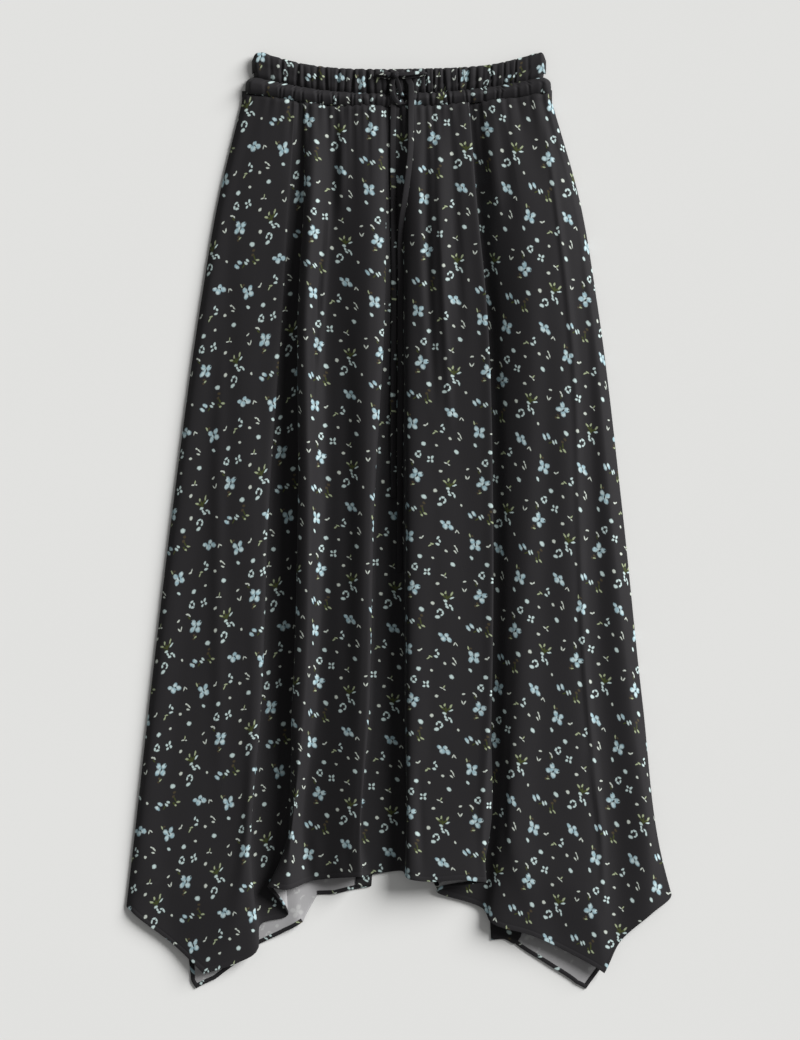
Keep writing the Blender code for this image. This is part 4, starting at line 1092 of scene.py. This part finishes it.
def make_waist(settings):
    """The elastic casing and the drawstring channel, front and back."""
    face, wrong = cloth_materials(settings)
    for name, node, creases, end_height, count, thickness, rows in BANDS:
        grid = smoother_rows(band_surface(rows, creases, end_height), count)
        if name == "front_channel":
            cut_opening(grid)
        lengths = row_lengths(grid).mean(axis=0)
        along_row = GATHERED * (lengths - lengths[len(lengths) // 2])
        steps = np.linalg.norm(np.diff(grid[..., 1:], axis=0), axis=2).mean(axis=1)
        down = grid[0, :, 1].mean() + np.append(0, np.cumsum(steps))
        maps = [cloth_places(*np.broadcast_arrays(along_row[None, :], down[:, None]), *BAND_PRINT)]
        mesh = sheet_mesh(name, grid_points(grid), maps)
        piece = add_object(name, mesh, (face, wrong), [node])
        thicken(piece, thickness)


def resting_height(across, drop, reach):
    """The highest point of the front's face and bands within reach of a place, in millimetres."""
    best = 0.0
    depsgraph = bpy.context.evaluated_depsgraph_get()
    for name in ("front_cloth", "front_channel", "front_casing"):
        piece = bpy.data.objects[name].evaluated_get(depsgraph)
        for shift in (-reach, 0.0, reach):
            start = Vector(((across + shift) * MM, WAIST_Y - drop * MM, LOOK_DOWN_FROM))
            hit, point, _, _ = piece.ray_cast(start, Vector((0.0, 0.0, -1.0)))
            if hit:
                best = max(best, point.z / MM)
    return best


def ribbon(name, face, path, widths, thick, sides, cloth_start, replaced):
    """A flat tube of cloth along a path in metres, with rounded edges and closed ends. The widths are in
    millimetres, one for each point or one for all, and sides are the directions across it."""
    along = unit(np.gradient(path, axis=0))
    side = unit(sides - along * np.sum(along * sides, axis=1, keepdims=True))
    up = unit(np.cross(side, along))
    widths = np.broadcast_to(widths, len(path))
    angles = np.linspace(0, 2 * np.pi, RIBBON_SIDES + 1)
    waves = (np.cos(angles), np.sin(angles))
    reach, rise = (np.sign(wave) * np.abs(wave) ** RIBBON_ROUNDING for wave in waves)
    rings = (path[:, None] + side[:, None] * (reach[None, :, None] * widths[:, None, None] / 2 * MM)
             + up[:, None] * (rise[None, :, None] * thick / 2 * MM))
    ends = [np.broadcast_to(path[i], (1, len(angles), 3)) for i in (0, -1)]
    points = np.concatenate([ends[0], rings, ends[1]])
    lengths = np.concatenate([[0], np.cumsum(np.linalg.norm(np.diff(path, axis=0), axis=1))])
    lengths = np.concatenate([[0], lengths, lengths[-1:]])
    around = np.linspace(0, 2 * widths.max() * MM, len(angles))
    maps = [np.stack(np.broadcast_arrays(around[None, :] + cloth_start, lengths[:, None]), axis=-1)]
    return add_object(name, sheet_mesh(name, points, maps), (face,), replaced)


def string_path(route):
    """The route of a free end of the drawstring, lying on the front, in metres."""
    places, drops = zip(*route)
    count = round((drops[-1] - drops[0]) / STRING_STEP)
    at = np.linspace(drops[0], drops[-1], count + 1)
    across = smooth_values(drops, places, at)
    heights = np.array([resting_height(x, d, STRING_WIDTH / 2 - 1) for x, d in zip(across, at)])
    heights = np.convolve(np.pad(heights, 2, mode="edge"), np.ones(5) / 5, mode="valid")
    return place(across, at, heights + STRING_THICK / 2 + STRING_GAP)


def flat_sides(path, lean):
    """Directions across a ribbon that lies on the cloth, leaning by an angle in radians at each point."""
    along = unit(np.gradient(path, axis=0))
    level = unit(np.cross(along, (0.0, 0.0, 1.0)))
    return level * np.cos(lean)[:, None] + np.array([0.0, 0.0, 1.0]) * np.sin(lean)[:, None]


def curve_through(points, count):
    """A smooth line through points, in as many points as asked."""
    points = np.array(points)
    stations = np.concatenate([[0], np.cumsum(np.linalg.norm(np.diff(points, axis=0), axis=1))])
    at = np.linspace(0, stations[-1], count)
    return np.stack([smooth_values(stations, points[:, i], at) for i in range(points.shape[1])], axis=1)


def make_bow(face):
    """The knot, its two loops, and the strings that come to it out of the opening of the channel."""
    rest = max(resting_height(x, BOW_DROP, BOW_REACH) for x in BOW_PLACES)
    pieces = []
    for name, replaced, table in BOW_RIBBONS:
        table = np.array(table)
        line = curve_through(table[:, :3], BOW_POINTS * len(table))
        widths = np.interp(np.linspace(0, 1, len(line)), np.linspace(0, 1, len(table)), table[:, 3])
        path = place(line[:, 0], line[:, 1], rest + line[:, 2])
        if replaced:
            sides = np.broadcast_to(LOOP_SIDE, path.shape)
        else:
            sides = flat_sides(path, np.full(len(path), FEED_LEAN))
        pieces.append(ribbon(name, face, path, widths, BOW_THICK, sides, BOW_CLOTH, replaced))
    turn, polar = np.meshgrid(np.linspace(0, 2 * np.pi, KNOT_POINTS[0]),
                              np.linspace(KNOT_POLE, np.pi - KNOT_POLE, KNOT_POINTS[1]))
    x, y, z = np.cos(turn) * np.sin(polar), np.sin(turn) * np.sin(polar), np.cos(polar)
    wrap = KNOT_WRAP[0] * x + KNOT_WRAP[1] * y
    swell = 1.0
    for middle, half_width, depth in KNOT_HOLLOWS:
        swell = swell - depth * np.exp(-((wrap - middle) / half_width) ** 2)
    points = place(KNOT[0] + KNOT_SIZE[0] * x * swell, KNOT[1] + KNOT_SIZE[1] * y * swell,
                   rest + KNOT_RISE + KNOT_SIZE[2] * z * swell)
    maps = [np.stack([KNOT_PRINT[0] * MM * turn, KNOT_PRINT[1] * MM * polar], axis=-1)]
    mesh = sheet_mesh("knot", points, maps, turned=True)
    pieces.append(add_object("knot", mesh, (face,), ["bow_knot"]))
    return pieces


def make_drawstring(settings):
    """The bow and the free ends of the drawstring."""
    face, _ = cloth_materials(settings)
    bow = make_bow(face)
    for name, node, cloth_start, route in STRINGS:
        path = string_path(route)
        sides = flat_sides(path, STRING_LEAN * np.sin(np.linspace(0, STRING_WAVE, len(path))))
        ribbon(name, face, path, STRING_WIDTH, STRING_THICK, sides, cloth_start, [node])


# The paper that the skirt lies on: the scale of its specks as waves in a metre, how dark they are as a share
# of its colour, how rough and how shiny it is. Then the tint of the room's even light, and the camera's
# sensor width in millimetres and how far it sees in metres.
PAPER_SPECK = 60.0
SPECK_SHADE = 0.985
PAPER_ROUGHNESS = 0.9
PAPER_SHINE = 0.1
ROOM_TINT = (1.0, 1.0, 0.995, 1.0)
SENSOR_WIDTH = 36.0
CAMERA_SIGHT = 50.0


def make_floor(settings):
    """The pale surface."""
    mesh = bpy.data.meshes.new("floor")
    half = settings.floor_size / 2
    corners = [(-half, -half, 0), (half, -half, 0), (half, half, 0), (-half, half, 0)]
    mesh.from_pydata(corners, [], [(0, 1, 2, 3)])
    floor = bpy.data.objects.new("floor", mesh)
    bpy.context.scene.collection.objects.link(floor)
    material = bpy.data.materials.new("pale_paper")
    material.use_nodes = True
    shader = material.node_tree.nodes["Principled BSDF"]
    speck = add_node(material.node_tree, "ShaderNodeTexNoise", {"Scale": PAPER_SPECK, "Detail": 2.0})
    shade = [value * SPECK_SHADE for value in settings.floor_colour[:3]] + [1.0]
    tone = mixed_colour(material.node_tree, speck.outputs[0], settings.floor_colour, shade)
    material.node_tree.links.new(tone, shader.inputs["Base Color"])
    shader.inputs["Roughness"].default_value = PAPER_ROUGHNESS
    shader.inputs["Specular IOR Level"].default_value = PAPER_SHINE
    mesh.materials.append(material)


def make_light(settings):
    """The room's even light and the soft light from one side."""
    scene = bpy.context.scene
    world = bpy.data.worlds.new("soft_room")
    world.use_nodes = True
    background = world.node_tree.nodes["Background"]
    background.inputs["Color"].default_value = ROOM_TINT
    background.inputs["Strength"].default_value = settings.room_light
    scene.world = world

    lamp = bpy.data.lights.new("window", "SUN")
    lamp.energy = settings.window_light
    lamp.angle = math.radians(settings.window_softness)
    sun = bpy.data.objects.new("window", lamp)
    sun.rotation_euler = Vector(settings.window_from).to_track_quat("Z", "Y").to_euler()
    scene.collection.objects.link(sun)


def make_camera(settings):
    """The camera straight above."""
    scene = bpy.context.scene
    lens = bpy.data.cameras.new("camera")
    lens.sensor_width = SENSOR_WIDTH
    lens.lens = lens.sensor_width * settings.camera_height / settings.view_length
    lens.clip_end = CAMERA_SIGHT
    camera = bpy.data.objects.new("camera", lens)
    camera.location = (settings.view_centre[0], settings.view_centre[1], settings.camera_height)
    scene.collection.objects.link(camera)
    scene.camera = camera
    scene.view_settings.view_transform = "Standard"


# What settings of one kind share.
COLOUR = {"size": 4, "subtype": "COLOR"}
SHARE = {"min": 0.0, "max": 1.0, "subtype": "FACTOR"}


class SkirtClothSettings(bpy.types.PropertyGroup):
    """Sizes and colours of the skirt's cloth."""

    cloth_wall: bpy.props.FloatProperty(
        name="Cloth thickness", description="Thickness of the crepe in millimetres",
        default=0.7, min=0.2, max=2.0)
    hem_width: bpy.props.FloatProperty(
        name="Hem width", description="Width of the turned hem in millimetres",
        default=4.0, min=2.0, max=15.0)
    roughness: bpy.props.FloatProperty(
        name="Roughness", description="How matte the crepe is", default=0.62, **SHARE)
    sheen: bpy.props.FloatProperty(
        name="Sheen", description="How much the crepe's fuzz catches the light", default=0.05, **SHARE)
    show_through: bpy.props.FloatProperty(
        name="Show-through", description="How far the print shows on the wrong side", default=0.35, **SHARE)
    ground: bpy.props.FloatVectorProperty(
        name="Ground", description="Colour of the cloth between the flowers",
        default=(0.0194, 0.0183, 0.0198, 1.0), **COLOUR)
    blue_ink: bpy.props.FloatVectorProperty(
        name="Blue ink", description="Colour of the flowers",
        default=srgb(146, 175, 184), **COLOUR)
    blue_wash: bpy.props.FloatVectorProperty(
        name="Blue wash", description="Paler colour in the flowers",
        default=srgb(184, 203, 205), **COLOUR)
    mint_ink: bpy.props.FloatVectorProperty(
        name="Mint ink", description="Colour of the bells and small flowers",
        default=srgb(184, 202, 200), **COLOUR)
    pale_ink: bpy.props.FloatVectorProperty(
        name="Pale ink", description="Colour of the forks and seeds",
        default=srgb(188, 195, 186), **COLOUR)
    tip_ink: bpy.props.FloatVectorProperty(
        name="Leaf tip ink", description="Colour of the tips of the leaves",
        default=srgb(152, 162, 130), **COLOUR)
    leaf_ink: bpy.props.FloatVectorProperty(
        name="Leaf ink", description="Colour of the leaves",
        default=srgb(62, 68, 34), **COLOUR)
    stem_ink: bpy.props.FloatVectorProperty(
        name="Stem ink", description="Colour of the faint stems",
        default=srgb(70, 62, 46), **COLOUR)
    wrong_side: bpy.props.FloatVectorProperty(
        name="Wrong side", description="Colour of the cloth's wrong side",
        default=srgb(162, 161, 162), **COLOUR)
    wrong_side_ink: bpy.props.FloatVectorProperty(
        name="Wrong side flowers", description="Colour of the flowers seen through the cloth",
        default=srgb(205, 207, 204), **COLOUR)


class SkirtStageSettings(bpy.types.PropertyGroup):
    """Sizes, light and camera of the stage."""

    floor_size: bpy.props.FloatProperty(
        name="Floor size", description="Side of the pale surface", default=12.0, unit="LENGTH")
    floor_colour: bpy.props.FloatVectorProperty(
        name="Floor colour", description="Colour of the pale surface",
        default=(0.80, 0.80, 0.785, 1.0), **COLOUR)
    room_light: bpy.props.FloatProperty(
        name="Room light", description="Strength of the even light", default=0.22)
    window_light: bpy.props.FloatProperty(
        name="Window light", description="Strength of the light from one side", default=4.9)
    window_softness: bpy.props.FloatProperty(
        name="Window softness", description="Spread of that light in degrees", default=34.0)
    window_from: bpy.props.FloatVectorProperty(
        name="Window from", description="Where that light comes from", default=(0.74, 0.48, 0.47))
    camera_height: bpy.props.FloatProperty(
        name="Camera height", description="Height of the camera", default=6.0, unit="LENGTH")
    view_length: bpy.props.FloatProperty(
        name="View length", description="Length of floor that the picture holds", default=1.04, unit="LENGTH")
    view_centre: bpy.props.FloatVectorProperty(
        name="View centre", description="Where the picture's middle is", size=2, default=(0.0015, 0.0))


class SKIRT_OT_stage(bpy.types.Operator):
    """Set the pale surface, the soft light and the camera"""

    bl_idname = "skirt.stage"
    bl_label = "Stage"

    def execute(self, context):
        settings = context.scene.skirt_stage
        make_floor(settings)
        make_light(settings)
        make_camera(settings)
        return {"FINISHED"}


class SKIRT_OT_back(bpy.types.Operator):
    """Lay the back panel with its hem"""

    bl_idname = "skirt.back"
    bl_label = "Back panel"

    def execute(self, context):
        make_back(context.scene.skirt_cloth)
        return {"FINISHED"}


class SKIRT_OT_front(bpy.types.Operator):
    """Lay the front panel with its folds and its hem"""

    bl_idname = "skirt.front"
    bl_label = "Front panel"

    def execute(self, context):
        make_front(context.scene.skirt_cloth)
        return {"FINISHED"}


class SKIRT_OT_waist(bpy.types.Operator):
    """Make the elastic casing and the drawstring channel"""

    bl_idname = "skirt.waist"
    bl_label = "Waist"

    def execute(self, context):
        make_waist(context.scene.skirt_cloth)
        return {"FINISHED"}


class SKIRT_OT_drawstring(bpy.types.Operator):
    """Tie the drawstring in its bow and lay its ends"""

    bl_idname = "skirt.drawstring"
    bl_label = "Drawstring"

    def execute(self, context):
        make_drawstring(context.scene.skirt_cloth)
        return {"FINISHED"}


class SKIRT_PT_panel(bpy.types.Panel):
    """The skirt's pieces and settings."""

    bl_label = "Handkerchief Hem Skirt"
    bl_idname = "SKIRT_PT_panel"
    bl_space_type = "VIEW_3D"
    bl_region_type = "UI"
    bl_category = "Skirt"

    def draw(self, context):
        column = self.layout.column()
        for operator in OPERATORS:
            column.operator(operator.bl_idname)
        for settings in (context.scene.skirt_cloth, context.scene.skirt_stage):
            for name in settings.bl_rna.properties.keys():
                if name not in ("rna_type", "name"):
                    column.prop(settings, name)


OPERATORS = (SKIRT_OT_stage, SKIRT_OT_back, SKIRT_OT_front, SKIRT_OT_waist, SKIRT_OT_drawstring)
CLASSES = (SkirtClothSettings, SkirtStageSettings) + OPERATORS + (SKIRT_PT_panel,)


def register():
    """Register the classes and the settings."""
    for item in CLASSES:
        bpy.utils.register_class(item)
    bpy.types.Scene.skirt_cloth = bpy.props.PointerProperty(type=SkirtClothSettings)
    bpy.types.Scene.skirt_stage = bpy.props.PointerProperty(type=SkirtStageSettings)


def unregister():
    """Remove the settings and the classes."""
    del bpy.types.Scene.skirt_stage
    del bpy.types.Scene.skirt_cloth
    for item in reversed(CLASSES):
        bpy.utils.unregister_class(item)


def main():
    """Make every piece in order."""
    register()
    bpy.ops.skirt.stage()
    bpy.ops.skirt.back()
    bpy.ops.skirt.front()
    bpy.ops.skirt.waist()
    bpy.ops.skirt.drawstring()


if __name__ == "__main__":
    main()
